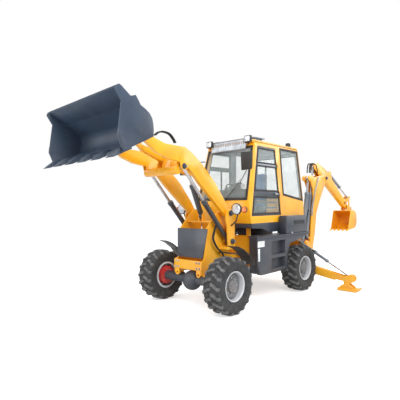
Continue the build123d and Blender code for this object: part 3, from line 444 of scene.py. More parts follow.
class Form:
    # a piece gathered from plain closed shapes
    def __init__(self):
        self.mesh = bmesh.new()

    def skin(self, loops, closed=False):
        rings = [[self.mesh.verts.new(p) for p in loop] for loop in loops]
        pairs = list(zip(rings, rings[1:])) + ([(rings[-1], rings[0])] if closed else [])
        for a, b in pairs:
            for i in range(len(a)):
                j = (i + 1) % len(a)
                self.mesh.faces.new((a[i], a[j], b[j], b[i]))
        if not closed:
            self.mesh.faces.new(rings[0][::-1])
            self.mesh.faces.new(rings[-1])

    def slab(self, outline, y0, y1):
        self.skin([[spot(x, y, z) for x, z in outline] for y in (y0, y1)])

    def wall(self, outline, x0, x1):
        self.skin([[spot(x, y, z) for y, z in outline] for x in (x0, x1)])

    def box(self, x0, x1, y0, y1, z0, z1):
        self.slab([(x0, z0), (x1, z0), (x1, z1), (x0, z1)], y0, y1)

    def turned(self, start, way, profile, sides=24):
        # profile is (along the way, radius)
        turn = Vector(way).to_track_quat("Z", "Y")
        circle = [2 * math.pi * i / sides for i in range(sides)]
        self.skin([
            [start + turn @ Vector((r * math.cos(a), r * math.sin(a), along)) for a in circle]
            for along, r in profile
        ])

    def rod(self, start, end, r, sides=20):
        self.turned(start, end - start, [(0, r), ((end - start).length, r)], sides)

    def border(self, outline, width, place, out):
        # a flat frame round an outline; place turns the outline's pairs into points, out is its thickness
        outer, inner = grown(outline, width / 2), grown(outline, -width / 2)
        low, high = -out * 0.5, out
        self.skin(
            [
                [place(*p, low) for p in outer], [place(*p, high) for p in outer],
                [place(*p, high) for p in inner], [place(*p, low) for p in inner],
            ],
            closed=True,
        )

    def piece(self, name, node, finish, edge=0.003, replaced=()):
        bmesh.ops.remove_doubles(self.mesh, verts=self.mesh.verts, dist=1e-6)
        bmesh.ops.recalc_face_normals(self.mesh, faces=self.mesh.faces)
        mesh = bpy.data.meshes.new(name)
        self.mesh.to_mesh(mesh)
        self.mesh.free()
        return settle(name, rounded(mesh, edge) if edge else mesh, node, finish, replaced=replaced)


def grown(outline, by):
    # an outline moved outwards by the same distance all round
    points = [Vector(p) for p in outline]
    area = sum(a.x * b.y - b.x * a.y for a, b in zip(points, points[1:] + points[:1]))
    side = 1 if area > 0 else -1
    done = []
    for before, point, after in zip(points[-1:] + points[:-1], points, points[1:] + points[:1]):
        a, b = (point - before).normalized(), (after - point).normalized()
        na, nb = Vector((a.y, -a.x)) * side, Vector((b.y, -b.x)) * side
        done.append(tuple(point + (na + nb) * (by / (1 + na.dot(nb)))))
    return done


def rounded(mesh, width, segments=2):
    # a mesh with its sharp edges rounded over
    work = bpy.data.objects.new("work", mesh)
    bpy.context.scene.collection.objects.link(work)
    bevel = work.modifiers.new("edges", "BEVEL")
    bevel.width, bevel.segments, bevel.limit_method = width, segments, "ANGLE"
    bevel.angle_limit = math.radians(32)
    done = baked(work)
    bpy.data.objects.remove(work)
    final = bmesh.new()
    final.from_mesh(done)
    bmesh.ops.triangulate(final, faces=[face for face in final.faces if len(face.verts) > 4])
    for face in final.faces:
        face.smooth = True
    for edge in final.edges:
        edge.smooth = len(edge.link_faces) == 2 and edge.calc_face_angle(0) < math.radians(38)
    final.to_mesh(done)
    final.free()
    return done


def newTree(name, inputs):
    # a node group with a geometry input, the named inputs and a geometry output
    tree = bpy.data.node_groups.new(name, "GeometryNodeTree")
    tree.interface.new_socket("Geometry", in_out="INPUT", socket_type="NodeSocketGeometry")
    for label, kind in inputs:
        tree.interface.new_socket(label, in_out="INPUT", socket_type="NodeSocket" + kind)
    tree.interface.new_socket("Geometry", in_out="OUTPUT", socket_type="NodeSocketGeometry")
    return tree, tree.nodes.new("NodeGroupInput"), tree.nodes.new("NodeGroupOutput")


def chained(tree, source, *kinds):
    # nodes in a row, each taking the geometry of the one before
    made = []
    for kind, slot in kinds:
        node = tree.nodes.new("GeometryNode" + kind)
        tree.links.new(source, node.inputs[slot])
        source = node.outputs[0]
        made.append(node)
    return made


def pipeTree():
    # a round pipe along a smooth line through the points it is given
    inputs = (("Radius", "Float"), ("Sides", "Int"), ("Finish", "Material"))
    tree, start, end = newTree("pipeAlongPoints", inputs)
    row = chained(
        tree, start.outputs["Geometry"], ("MeshToCurve", "Mesh"), ("CurveSplineType", "Curve"),
        ("SetSplineResolution", 0), ("CurveToMesh", "Curve"), ("SetShadeSmooth", 0), ("RealizeInstances", 0),
        ("SetMaterial", 0),
    )
    kind, steps, skin, paint = row[1], row[2], row[3], row[-1]
    kind.spline_type = "CATMULL_ROM"
    steps.inputs["Resolution"].default_value = 6
    circle = tree.nodes.new("GeometryNodeCurvePrimitiveCircle")
    tree.links.new(start.outputs["Radius"], circle.inputs["Radius"])
    tree.links.new(start.outputs["Sides"], circle.inputs["Resolution"])
    tree.links.new(circle.outputs[0], skin.inputs["Profile Curve"])
    skin.inputs["Fill Caps"].default_value = True
    tree.links.new(start.outputs["Finish"], paint.inputs["Material"])
    tree.links.new(paint.outputs[0], end.inputs[0])
    return tree


def copiesTree():
    # one copy of a form at each point, turned and sized by the points' own values
    tree, start, end = newTree("copiesAtPoints", (("Form", "Object"), ("Finish", "Material")))
    row = chained(
        tree, start.outputs["Geometry"], ("InstanceOnPoints", "Points"), ("RealizeInstances", 0),
        ("SetMaterial", 0),
    )
    copies, paint = row[0], row[-1]
    form = tree.nodes.new("GeometryNodeObjectInfo")
    tree.links.new(start.outputs["Form"], form.inputs["Object"])
    tree.links.new(form.outputs["Geometry"], copies.inputs["Instance"])
    turn = tree.nodes.new("GeometryNodeInputNamedAttribute")
    turn.data_type = "FLOAT_VECTOR"
    turn.inputs["Name"].default_value = "turn"
    angle = tree.nodes.new("FunctionNodeEulerToRotation")
    tree.links.new(turn.outputs["Attribute"], angle.inputs[0])
    tree.links.new(angle.outputs[0], copies.inputs["Rotation"])
    size = tree.nodes.new("GeometryNodeInputNamedAttribute")
    size.inputs["Name"].default_value = "size"
    tree.links.new(size.outputs["Attribute"], copies.inputs["Scale"])
    tree.links.new(start.outputs["Finish"], paint.inputs["Material"])
    tree.links.new(paint.outputs[0], end.inputs[0])
    return tree


pipeAlongPoints, copiesAtPoints = pipeTree(), copiesTree()


def grownBy(tree, mesh, values):
    # what a node group makes of a mesh, as a plain mesh
    work = bpy.data.objects.new("work", mesh)
    bpy.context.scene.collection.objects.link(work)
    grow = work.modifiers.new("grow", "NODES")
    grow.node_group = tree
    sockets = {item.name: item.identifier for item in tree.interface.items_tree if item.in_out == "INPUT"}
    for label, value in values.items():
        grow[sockets[label]] = value
    work.update_tag()
    done = baked(work)
    work.modifiers.remove(grow)
    bpy.data.objects.remove(work)
    return done


def pipes(name, node, finish, radius, runs, sides=12):
    # pipes or hoses held along one body; runs are lists of points
    mesh = bpy.data.meshes.new(name)
    points = [p for run in runs for p in run]
    edges = []
    for run in runs:
        first = edges[-1][1] + 1 if edges else 0
        edges += [(first + i, first + i + 1) for i in range(len(run) - 1)]
    mesh.from_pydata(points, edges, [])
    done = grownBy(pipeAlongPoints, mesh, {"Radius": radius, "Sides": sides, "Finish": finish})
    return settle(name, done, node, finish)


def copies(name, node, finish, form, rows):
    # copies of a form on one body; each row is a place, a turn as Euler angles and a size
    source = bpy.data.objects.new("form", form)
    bpy.context.scene.collection.objects.link(source)
    mesh = bpy.data.meshes.new(name)
    mesh.from_pydata([row[0] for row in rows], [], [])
    mesh.attributes.new("turn", "FLOAT_VECTOR", "POINT")
    mesh.attributes.new("size", "FLOAT", "POINT")
    for i, (_, angles, scale) in enumerate(rows):
        mesh.attributes["turn"].data[i].vector = angles
        mesh.attributes["size"].data[i].value = scale
    done = grownBy(copiesAtPoints, mesh, {"Form": source, "Finish": finish})
    bpy.data.objects.remove(source)
    return settle(name, done, node, finish)


def boltForm():
    # a washer and a six-sided head, one unit across the head's corners
    form = Form()
    up = Vector((0, 0, 1))
    form.turned(Vector((0, 0, 0)), up, [(-0.05, 0.78), (0.12, 0.78), (0.16, 0.7)], 10)
    form.turned(Vector((0, 0, 0)), up, [(0.1, 0.5), (0.44, 0.5), (0.52, 0.4)], 6)
    mesh = bpy.data.meshes.new("bolt")
    form.mesh.to_mesh(mesh)
    form.mesh.free()
    return mesh


def bolts(name, node, finish, rows):
    # rows are a place, the way the head points and the head's size
    turned = [(place, Vector(way).to_track_quat("Z", "Y").to_euler(), size) for place, way, size in rows]
    return copies(name, node, finish, boltForm(), turned)


plainNodes = {
    yellow: "front_chassis lift_arms rocker bucket_link rear_chassis shift_carriage "
    "swing_post boom dipper tipping_lever push_link dig_bucket leg_left leg_right pad_left pad_right",
    cabYellow: "cab_shell cab_roof",
    slate: "nose_cover side_tanks toolboxes cab_skirt door_left door_right",
    bucketSlate: "loader_bucket",
    castGrey: "front_axle rear_axle engine_block",
    blackPaint: "front_fenders",
    ramTube: "lift_barrels tilt_barrel",
    ramGrey: "boom_barrel dipper_barrel dig_barrel leg_barrel_left leg_barrel_right",
    chrome: "lift_rods tilt_rod boom_rod dipper_rod dig_rod leg_rod_left leg_rod_right",
    glass: "cab_glass door_glass_left door_glass_right",
    perforated: "sun_visor",
}
leaveFlat = {"cab_glass", "door_glass_left", "door_glass_right", "sun_visor"}
for finish, names in plainNodes.items():
    for node in names.split():
        if node in leaveFlat:
            nodes[node].data.materials.clear()
            nodes[node].data.materials.append(finish)
        else:
            softened(node, finish)
print("plates and castings rounded over")


tyreForm = {"lugs": 18, "radius": 0.522, "lugHeight": 0.03, "lugFoot": 0.025, "edgeDrop": 0.012}
tyreSection = (  # out from the wheel's middle, radius
    (0.150, 0.254), (0.150, 0.282), (0.158, 0.292), (0.168, 0.304), (0.170, 0.312), (0.176, 0.314),
    (0.188, 0.345), (0.196, 0.385), (0.1985, 0.395), (0.198, 0.42), (0.194, 0.45), (0.184, 0.474),
    (0.160, 0.486), (0.1, 0.491),
)
lugShapes = (  # (out from the middle, round the tyre), in metres: a long lug and the shoulder block beyond it
    ((0.008, -0.036), (0.008, 0.02), (0.06, 0.028), (0.116, 0.066), (0.128, 0.02), (0.07, -0.022)),
    ((0.136, 0.03), (0.13, 0.072), (0.150, 0.092), (0.186, 0.094), (0.190, 0.036)),
)
rimSection = (  # out from the wheel's middle, radius
    (-0.168, 0.24), (-0.168, 0.272), (-0.162, 0.2765), (-0.155, 0.2765), (-0.151, 0.2515), (0.151, 0.2515),
    (0.155, 0.2765), (0.162, 0.2765), (0.168, 0.272), (0.168, 0.262), (0.158, 0.25), (0.146, 0.2455),
    (0.06, 0.2445), (0.052, 0.238), (0.044, 0.236),
)
discSection = (
    (0.040, 0.0005), (0.040, 0.2), (0.056, 0.236), (0.066, 0.236), (0.075, 0.222), (0.085, 0.205),
    (0.088, 0.19), (0.078, 0.168), (0.070, 0.15), (0.068, 0.125), (0.071, 0.118), (0.112, 0.112),
    (0.118, 0.106), (0.120, 0.085),
    (0.130, 0.078), (0.132, 0.05), (0.133, 0.0005),
)
wheelBolts = {"count": 8, "circle": 0.148, "face": 0.071, "size": 0.026}
hubBolts = {"count": 10, "circle": 0.097, "face": 0.121, "size": 0.013}


def lathe(name, section, centre, outward, steps=96, closed=False):
    # section is (out from the wheel's middle, radius), turned about the axle
    form = Form()
    form.skin(
        [
            [
                centre + Vector((
                    r * math.cos(2 * math.pi * i / steps), outward * y, r * math.sin(2 * math.pi * i / steps)
                ))
                for i in range(steps)
            ]
            for y, r in section
        ],
        closed=closed,
    )
    bmesh.ops.remove_doubles(form.mesh, verts=form.mesh.verts, dist=1e-6)
    bmesh.ops.recalc_face_normals(form.mesh, faces=form.mesh.faces)
    for face in form.mesh.faces:
        face.smooth = True
    for edge in form.mesh.edges:
        edge.smooth = len(edge.link_faces) == 2 and edge.calc_face_angle(0) < math.radians(34)
    mesh = bpy.data.meshes.new(name)
    form.mesh.to_mesh(mesh)
    form.mesh.free()
    return mesh


def lugForm(side, outward):
    # the long lug and the shoulder block at the top of the tyre, on one side of its middle
    form = Form()
    top, foot = tyreForm["radius"], tyreForm["radius"] - tyreForm["lugHeight"] - 0.012
    for outline in lugShapes:
        middle = sum((Vector(p) for p in outline), Vector((0, 0))) / len(outline)
        rings = []
        for r, spread in ((foot, 1.16), (top - 0.006, 1.02), (top, 0.93)):
            ring = []
            for corner in outline:
                y, along = middle + (Vector(corner) - middle) * spread
                lowered = r - max(0.0, y - 0.12) * 0.32 if r > foot else r - max(0.0, y - 0.12) * 0.9
                ring.append(Vector((
                    lowered * math.sin(along / top), side * outward * y, lowered * math.cos(along / top)
                )))
            rings.append(ring)
        form.skin(rings)
    bmesh.ops.recalc_face_normals(form.mesh, faces=form.mesh.faces)
    mesh = bpy.data.meshes.new("lug")
    form.mesh.to_mesh(mesh)
    form.mesh.free()
    return mesh


for row in ("front_left", "front_right", "rear_left", "rear_right"):
    low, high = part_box("tyre_" + row)
    centre = (Vector(low) + Vector(high)) / 2
    outward = 1 if "left" in row else -1
    name, tyreNode, rimNode = row.title().replace("_", ""), "tyre_" + row, "rim_" + row
    section = [(-y, r) for y, r in tyreSection] + list(reversed(tyreSection))
    carcass = lathe("tyre", section, centre, outward, closed=True)
    settle("Tyre" + name, carcass, tyreNode, rubber, replaced=(tyreNode,))
    pitch = 2 * math.pi / tyreForm["lugs"]
    for side, label in ((1, "Outer"), (-1, "Inner")):
        rows = [(centre, (0, (i + 0.25 * (1 - side)) * pitch, 0), 1.0) for i in range(tyreForm["lugs"])]
        copies("Tread" + label + name, tyreNode, treadRubber, lugForm(side, outward), rows)
    barrel = lathe("rim", rimSection, centre, outward, closed=True)
    settle("Rim" + name, barrel, rimNode, rimSilver, replaced=(rimNode,))
    settle("RimDisc" + name, lathe("disc", discSection, centre, outward), rimNode, discGrey)
    studs = []
    for ring in (wheelBolts, hubBolts):
        for i in range(ring["count"]):
            turn = 2 * math.pi * i / ring["count"]
            circle, face = ring["circle"], ring["face"]
            reach = Vector((circle * math.cos(turn), outward * face, circle * math.sin(turn)))
            studs.append((centre + reach, (0, outward, 0), ring["size"]))
    bolts("WheelBolts" + name, rimNode, bareSteel, studs)
print("wheels made")

# red brake drums behind the front wheels
drum = {"x": 1.31, "inner": 0.735, "outer": 0.944, "radius": 0.182, "z": 0.522}
form = Form()
for s in (1, -1):
    start = spot(drum["x"], s * drum["inner"], drum["z"])
    r, depth = drum["radius"], drum["outer"] - drum["inner"]
    profile = [(-0.002, r * 0.6), (0, r), (0.05, r), (0.055, r + 0.006), (depth, r + 0.006)]
    form.turned(start, (0, s, 0), profile, 40)
form.piece("BrakeDrums", "front_axle", redPaint)

# windows: black seals, door bands, handles
doorWindows = (
    ((0.245, 1.8), (0.165, 2.15), (-0.8, 2.15), (-0.815, 1.8)),
    ((0.13, 2.29), (0.015, 2.82), (-0.745, 2.82), (-0.785, 2.29)),
    ((0.0, 2.89), (-0.075, 3.205), (-0.725, 3.205), (-0.74, 2.89)),
)
rearWindow = ((-0.99, 2.222), (-0.95, 3.268), (-1.742, 3.268), (-1.876, 2.095))
frontScreen = ((-0.662, 2.112), (0.662, 2.112), (0.606, 3.222), (-0.606, 3.222))
rearScreen = ((-0.64, 2.14), (0.64, 2.14), (0.58, 3.2), (-0.58, 3.2))
seal = {"width": 0.036, "proud": 0.006}


def onSide(s, inset=0.0):
    # a place on the cab's leaning side
    def place(x, z, out):
        half = cabForm["halfAtFloor"] - (z - cabForm["floor"]) * cabForm["lean"]
        return spot(x, s * (half - inset + out), z)
    return place


def onFrontScreen(y, z, out):
    foot = cabForm["screenFoot"] - pivotX
    return spot(foot - (z - cabForm["screenFootHeight"]) * cabForm["screenLean"] + out, y, z)


def onRearScreen(y, z, out):
    return spot(-1.93 + (z - 2.06) * 0.112 - out, y, z)


for label, s in (("left", 1), ("right", -1)):
    name = label.title()
    form = Form()
    for outline in doorWindows:
        form.border(outline, seal["width"], onSide(s, 0.004), seal["proud"])
    form.piece("DoorSeals" + name, "door_" + label, sealRubber, 0.002)
    form = Form()
    band = onSide(s, 0.004)
    form.skin([
        [band(x, z, out) for x, z in ((-0.03, 2.838), (-0.76, 2.838), (-0.758, 2.872), (-0.038, 2.872))]
        for out in (-0.004, 0.004)
    ])
    form.piece("DoorBand" + name, "door_" + label, bandGrey, 0.001)
    form = Form()
    handle = onSide(s, 0.0)
    form.rod(handle(-0.66, 2.226, -0.01), handle(-0.66, 2.226, 0.028), 0.022)
    form.skin([
        [handle(x, z, out) for x, z in ((-0.6, 2.238), (-0.78, 2.232), (-0.78, 2.214), (-0.6, 2.21))]
        for out in (0.026, 0.04)
    ])
    form.piece("DoorHandle" + name, "door_" + label, bareSteel, 0.003)
    form = Form()
    form.box(0.02, -0.74, s * 0.655, s * 0.69, 1.9, 1.94)
    form.box(0.05, -0.76, s * 0.655, s * 0.69, 2.02, 2.06)
    form.box(-0.36, -0.4, s * 0.625, s * 0.648, 2.3, 2.81)
    form.piece("DoorRails" + name, "door_" + label, blackPlastic, 0.004)

form = Form()
for s in (1, -1):
    form.border(rearWindow, seal["width"] + 0.014, onSide(s), seal["proud"])
form.border(frontScreen, seal["width"] + 0.02, onFrontScreen, seal["proud"])
form.border(rearScreen, seal["width"] + 0.02, onRearScreen, seal["proud"])
form.piece("CabSeals", "cab_shell", sealRubber, 0.002)

form = Form()
wiper = {"foot": (0.12, 2.1), "elbow": (0.34, 2.33), "tip": (0.575, 2.72), "bladeFoot": (0.44, 2.44)}
foot, elbow = onFrontScreen(*wiper["foot"], 0.03), onFrontScreen(*wiper["elbow"], 0.036)
tip = onFrontScreen(*wiper["tip"], 0.02)
form.rod(foot - Vector((0.03, 0, 0.012)), foot + Vector((0.012, 0, 0.004)), 0.018)
form.rod(foot, elbow, 0.007)
form.rod(elbow, onFrontScreen(0.46, 2.53, 0.026), 0.005)
form.rod(onFrontScreen(*wiper["bladeFoot"], 0.012), tip, 0.008)
form.piece("Wiper", "cab_shell", blackPlastic, 0.0015)
print("windows dressed")

# inside the cab: dashboard, steering wheel, levers and seat
form = Form()
form.slab(((0.262, 2.13), (0.262, 2.2), (0.22, 2.3), (0.14, 2.33), (0.05, 2.27), (0.03, 2.14)), -0.6, 0.6)
form.slab(((0.262, 1.66), (0.262, 2.13), (0.1, 2.13), (0.06, 2.05), (0.06, 1.66)), -0.22, 0.22)
form.slab(((0.24, 2.28), (0.24, 2.42), (0.15, 2.47), (0.11, 2.45), (0.11, 2.3)), 0.16, 0.36)
form.turned(spot(0.06, 0, 2.1), (-0.12, 0, 0.23), [(0, 0.05), (0.02, 0.045), (0.2, 0.036), (0.26, 0.03)], 20)
for x, y, lean in ((-0.3, -0.42, 0.02), (-0.36, -0.48, -0.03), (-0.3, 0.42, 0.03)):
    form.rod(spot(x, y, 1.9), spot(x + lean, y, 2.34), 0.011)
    knob = [(0, 0.014), (0.02, 0.026), (0.06, 0.028), (0.085, 0.014)]
    form.turned(spot(x + lean, y, 2.32), (lean, 0, 0.3), knob)
form.box(-0.46, -0.24, -0.56, -0.36, 1.65, 1.95)
form.box(-0.42, -0.24, 0.36, 0.54, 1.65, 1.93)
form.piece("Dashboard", "console", blackPlastic, 0.008, replaced=("console",))

wheelCentre, wheelWay = spot(-0.075, 0, 2.36), Vector((-0.12, 0, 0.23)).normalized()
wheelTurn = wheelWay.to_track_quat("Z", "Y")
circle = [2 * math.pi * i / 40 for i in range(41)]
grip = [wheelCentre + wheelTurn @ Vector((0.192 * math.cos(a), 0.192 * math.sin(a), 0)) for a in circle]
pipes("SteeringWheelGrip", "console", blackPlastic, 0.0145, [grip])
form = Form()
for i in range(3):
    spoke = wheelTurn @ Vector((math.cos(i * 2.0944 + 0.5) * 0.186, math.sin(i * 2.0944 + 0.5) * 0.186, 0.0))
    form.rod(wheelCentre - wheelWay * 0.02, wheelCentre + spoke, 0.009, 12)
form.turned(wheelCentre, wheelWay, [(-0.04, 0.04), (-0.01, 0.05), (0.012, 0.044), (0.018, 0.03)], 24)
form.piece("SteeringWheelHub", "console", blackPlastic, 0.002)

form = Form()
form.slab(((0.216, 2.335), (0.226, 2.43), (0.206, 2.432), (0.196, 2.337)), 0.4, 0.5)
form.piece("DashBox", "console", whitePlate, 0.006)


stuffing = {"cuts": 21, "roundness": 8, "crown": 0.3, "pull": 0.05, "channelWidth": 0.07, "channelDepth": 0.2}


def padded(name, centre, half, tilt, seams=(), replaced=()):
    # a stuffed block: round edges, a crowned face, sides that pull in between the corners, sewn channels
    bm = bmesh.new()
    bmesh.ops.create_cube(bm, size=2)
    bmesh.ops.subdivide_edges(bm, edges=bm.edges, cuts=stuffing["cuts"], use_grid_fill=True)
    turn = Matrix.Rotation(tilt, 3, "Y")
    for vert in bm.verts:
        u, v, w = vert.co
        power, pull = stuffing["roundness"], stuffing["pull"]
        reach = (u ** power + v ** power + w ** power) ** (1 / power)
        crown = 1 + stuffing["crown"] * (1 - u * u) * (1 - v * v) * (w > 0)
        channels = sum(math.exp(-(((v - seam) / stuffing["channelWidth"]) ** 2)) for seam in seams)
        groove = channels * stuffing["channelDepth"] * (w > 0)
        shape = Vector((u * (1 - pull * (1 - v * v)), v * (1 - pull * (1 - u * u)), w)) / reach
        shape.z *= crown - groove
        vert.co = Vector(centre) + turn @ Vector(a * b for a, b in zip(shape, half))
    for face in bm.faces:
        face.smooth = True
    bmesh.ops.recalc_face_normals(bm, faces=bm.faces)
    mesh = bpy.data.meshes.new(name)
    bm.to_mesh(mesh)
    bm.free()
    return settle(name, mesh, "seat", blueCloth, replaced=replaced)


padded("SeatCushion", spot(-0.78, 0, 1.99), (0.26, 0.24, 0.045), -0.06, (-0.55, 0.55))
padded("SeatBack", spot(-1.02, 0, 2.41), (0.34, 0.225, 0.045), 1.46, (-0.5, 0.5))
form = Form()
form.box(-0.98, -0.58, -0.2, 0.2, 1.66, 1.78)
form.box(-1.02, -0.54, -0.23, 0.23, 1.78, 1.93)
for s in (1, -1):
    form.box(-0.98, -0.66, s * 0.275 - 0.025, s * 0.275 + 0.025, 2.16, 2.21)
    form.box(-0.98, -0.93, s * 0.255 - 0.02, s * 0.255 + 0.02, 1.9, 2.18)
form.piece("SeatBase", "seat", blackPlastic, 0.01, replaced=("seat",))
print("cab fitted out")

# lamps on stalks beside the nose
lamp = {"x": 0.857, "y": 0.763, "z": 1.907, "radius": 0.105}
pods, lenses, amber = Form(), Form(), Form()
for s in (1, -1):
    centre, r = spot(lamp["x"], s * lamp["y"], lamp["z"]), lamp["radius"]
    pods.turned(
        centre - Vector((0.11, 0, 0)), (1, 0, 0),
        [(0, r * 0.45), (0.03, r * 0.8), (0.07, r * 1.04), (0.112, r * 1.08), (0.112, r * 0.96)], 36,
    )
    bulge = [(0, r * 0.95), (0.006, r * 0.93), (0.016, r * 0.5)]
    lenses.turned(centre - Vector((0.004, 0, 0)), (1, 0, 0), bulge, 36)
    side = centre + Vector((-0.03, s * 0.165, -0.015))
    pods.turned(side - Vector((0.05, 0, 0)), (1, 0, 0), [(0, 0.045), (0.02, 0.064), (0.052, 0.064)], 28)
    amber.turned(side, (1, 0, 0), [(0, 0.06), (0.006, 0.059), (0.018, 0.04)], 28)
    pods.rod(centre + Vector((-0.07, 0, -0.05)), spot(0.78, s * 0.7, 1.66), 0.014)
    pods.rod(spot(0.78, s * 0.7, 1.67), spot(0.78, s * 0.555, 1.56), 0.014)
    pods.rod(side - Vector((0.03, 0, 0)), centre - Vector((0.06, 0, 0)), 0.012)
pods.piece("LampPods", "headlamps", blackPlastic, 0.003, replaced=("headlamps",))
lenses.piece("LampLenses", "headlamps", lampGlass, 0)
amber.piece("TurnLenses", "headlamps", amberGlass, 0)

# work lamps and beacon on the roof
housings, glow, flash = Form(), Form(), Form()
workLamp = {"x": 0.17, "depth": 0.07, "half": 0.08, "low": 3.315, "high": 3.455}
x, half, low, high = (workLamp[key] for key in ("x", "half", "low", "high"))
for y in (0.54, -0.54):
    housings.box(x - workLamp["depth"], x, y - half, y + half, low, high)
    housings.rod(spot(x - 0.04, y, 3.27), spot(x - 0.04, y, 3.33), 0.014)
    glow.box(x - 0.004, x + 0.008, y - 0.067, y + 0.067, 3.328, 3.442)
housings.turned(spot(-1.64, 0.47, 3.375), (0, 0, 1), [(0, 0.075), (0.03, 0.075), (0.036, 0.066)], 32)
flash.turned(spot(-1.64, 0.47, 3.41), (0, 0, 1), [(0, 0.062), (0.07, 0.06), (0.09, 0.05), (0.1, 0.02)], 32)
housings.piece("WorkLampHousings", "roof_lamps", blackPlastic, 0.014, replaced=("roof_lamps",))
glow.piece("WorkLampLenses", "roof_lamps", lampGlass, 0.006)
flash.piece("BeaconDome", "roof_lamps", blackPlastic, 0)

# mirrors on arms
backs, faces = Form(), Form()
for s in (1, -1):
    outline = [(0.755, 2.67), (1.0, 2.68), (1.015, 3.02), (0.745, 3.03)]
    backs.wall([(s * y, z) for y, z in outline], 0.63, 0.675)
    faces.wall([(s * y, z) for y, z in grown(outline, -0.016)], 0.624, 0.632)
    for z in (2.78, 2.95):
        backs.rod(spot(0.65, s * 0.84, z), spot(0.16, s * 0.66, z + 0.05), 0.011)
backs.piece("MirrorBacks", "mirrors", blackPlastic, 0.012, replaced=("mirrors",))
faces.piece("MirrorGlass", "mirrors", chrome, 0.002)
print("lamps and mirrors made")

# hoses and pipes, each along one body
def along(y, *pairs):
    return [spot(x, y, z) for x, z in pairs]


diggerY, postHalf = 0.55, 0.05  # the digger's own middle plane
noseRun = (
    (1.06, 1.62), (1.14, 1.455), (1.166, 1.344), (1.119, 1.243), (1.033, 1.138), (0.933, 1.063),
    (0.857, 0.972),
)
pipes("NoseHoses", "front_chassis", hoseRubber, 0.016, [
    [p + Vector((dx, s * dy, 0)) for p in along(s * 0.43, *noseRun)]
    for s in (1, -1) for dx, dy in ((0, 0), (0.03, 0.04))
])
archRun = ((2.624, 3.145), (2.559, 3.195), (2.45, 3.222), (2.315, 3.203), (2.224, 3.129), (2.178, 3.066))
sweepRun = ((-2.433, 1.841), (-2.337, 1.658), (-2.28, 1.4), (-2.27, 1.1))
dipperRun = ((-2.547, 2.819), (-2.573, 2.969), (-2.644, 3.069), (-2.853, 3.031), (-2.944, 2.843))
boomRun = (
    (-2.9, 2.72), (-2.877, 2.686), (-2.778, 2.488), (-2.681, 2.315), (-2.607, 2.102), (-2.535, 1.934),
    (-2.5, 1.7),
)
legRun = ((-1.791, 0.883), (-1.966, 0.846), (-2.08, 0.78), (-2.145, 0.746))
heldRuns = (  # name, node, finish, radius, run, places across
    ("LiftArmHoses", "lift_arms", hoseRubber, 0.014, archRun, (0.455, 0.49, -0.455, -0.49)),
    ("PostHoses", "swing_post", hoseRubber, 0.015, sweepRun, (diggerY - postHalf, diggerY + postHalf)),
    ("BoomHoses", "boom", hoseRubber, 0.015, dipperRun, (0.57, 0.61, 0.51)),
    ("BoomPipes", "boom", bareSteel, 0.011, boomRun, (0.648, 0.452, 0.672, 0.428)),
    ("LegHoses", "rear_chassis", hoseRubber, 0.014, legRun, (0.97, 1.01, -0.97, -1.01)),
)
for name, node, finish, radius, run, across in heldRuns:
    pipes(name, node, finish, radius, [along(y, *run) for y in across])
print("hoses and pipes run")

# pin ends: a round plate with a keeper and its bolt
def pinEnds(name, node, ends):
    form, heads = Form(), []
    for (x, z), y, s, r in ends:
        face = spot(x, y, z)
        form.turned(
            face, (0, s, 0),
            [(-0.004, r * 1.5), (0.012, r * 1.5), (0.015, r * 1.36), (0.015, r), (0.028, r * 0.94)], 28,
        )
        form.box(x - r * 2.3, x + r * 0.4, y, y + s * 0.01, z - 0.024, z + 0.024)
        heads.append((spot(x - r * 1.85, y + s * 0.01, z), (0, s, 0), 0.022))
    form.piece(name, node, castGrey, 0.002)
    bolts(name + "Bolts", node, bareSteel, heads)


pins = (  # name, node, places, middle plane, reach out from it, radius
    ("TowerPins", "front_chassis", ((0.8, 1.826), (0.755, 1.262)), 0, 0.587, 0.038),
    ("ArmPins", "lift_arms", ((2.008, 2.676), (2.93, 3.18)), 0, 0.512, 0.036),
    ("BoomPins", "boom", ((-3.41, 2.72),), diggerY, 0.1, 0.03),
    ("DipperPins", "dipper", ((-4.93, 1.9), (-4.74, 2.03)), diggerY, 0.064, 0.028),
)
for name, node, places, middle, reach, radius in pins:
    pinEnds(name, node, [(place, middle + s * reach, s, radius) for place in places for s in (1, -1)])

# bolts on the bumper's face
bumperBolts = {"x": 1.445, "across": (0.32, 0.25), "heights": (0.77, 0.88), "size": 0.03}
bolts("BumperBolts", "front_chassis", bareSteel, [
    (spot(bumperBolts["x"], s * y, z), (1, 0, 0), bumperBolts["size"])
    for s in (1, -1) for y in bumperBolts["across"] for z in bumperBolts["heights"]
])

# trim on the body sides
sideFace, plateT = 0.9505, 0.003
plates = Form()
for s in (1, -1):
    for x0, x1, z0, z1 in ((0.17, 0.41, 1.13, 1.25), (0.34, 0.4, 0.85, 1.1)):
        plates.box(x0, x1, s * sideFace, s * (sideFace + plateT), z0, z1)
plates.piece("BlankPlates", "side_tanks", whitePlate, 0.001)
print("small fittings made")


# bright tubes along the edges of the sun visor
visorPath = ((0.15, 3.19), (0.118, 3.3), (0.088, 3.415), (-0.15, 3.472), (-0.6, 3.482))
pipes("VisorTubes", "sun_visor", bareSteel, 0.011, [
    *([spot(x, s * 0.475, z) for x, z in visorPath] for s in (1, -1)),
    *([spot(x, y, z) for y in (-0.475, 0, 0.475)] for x, z in (visorPath[0], visorPath[2], visorPath[4])),
])

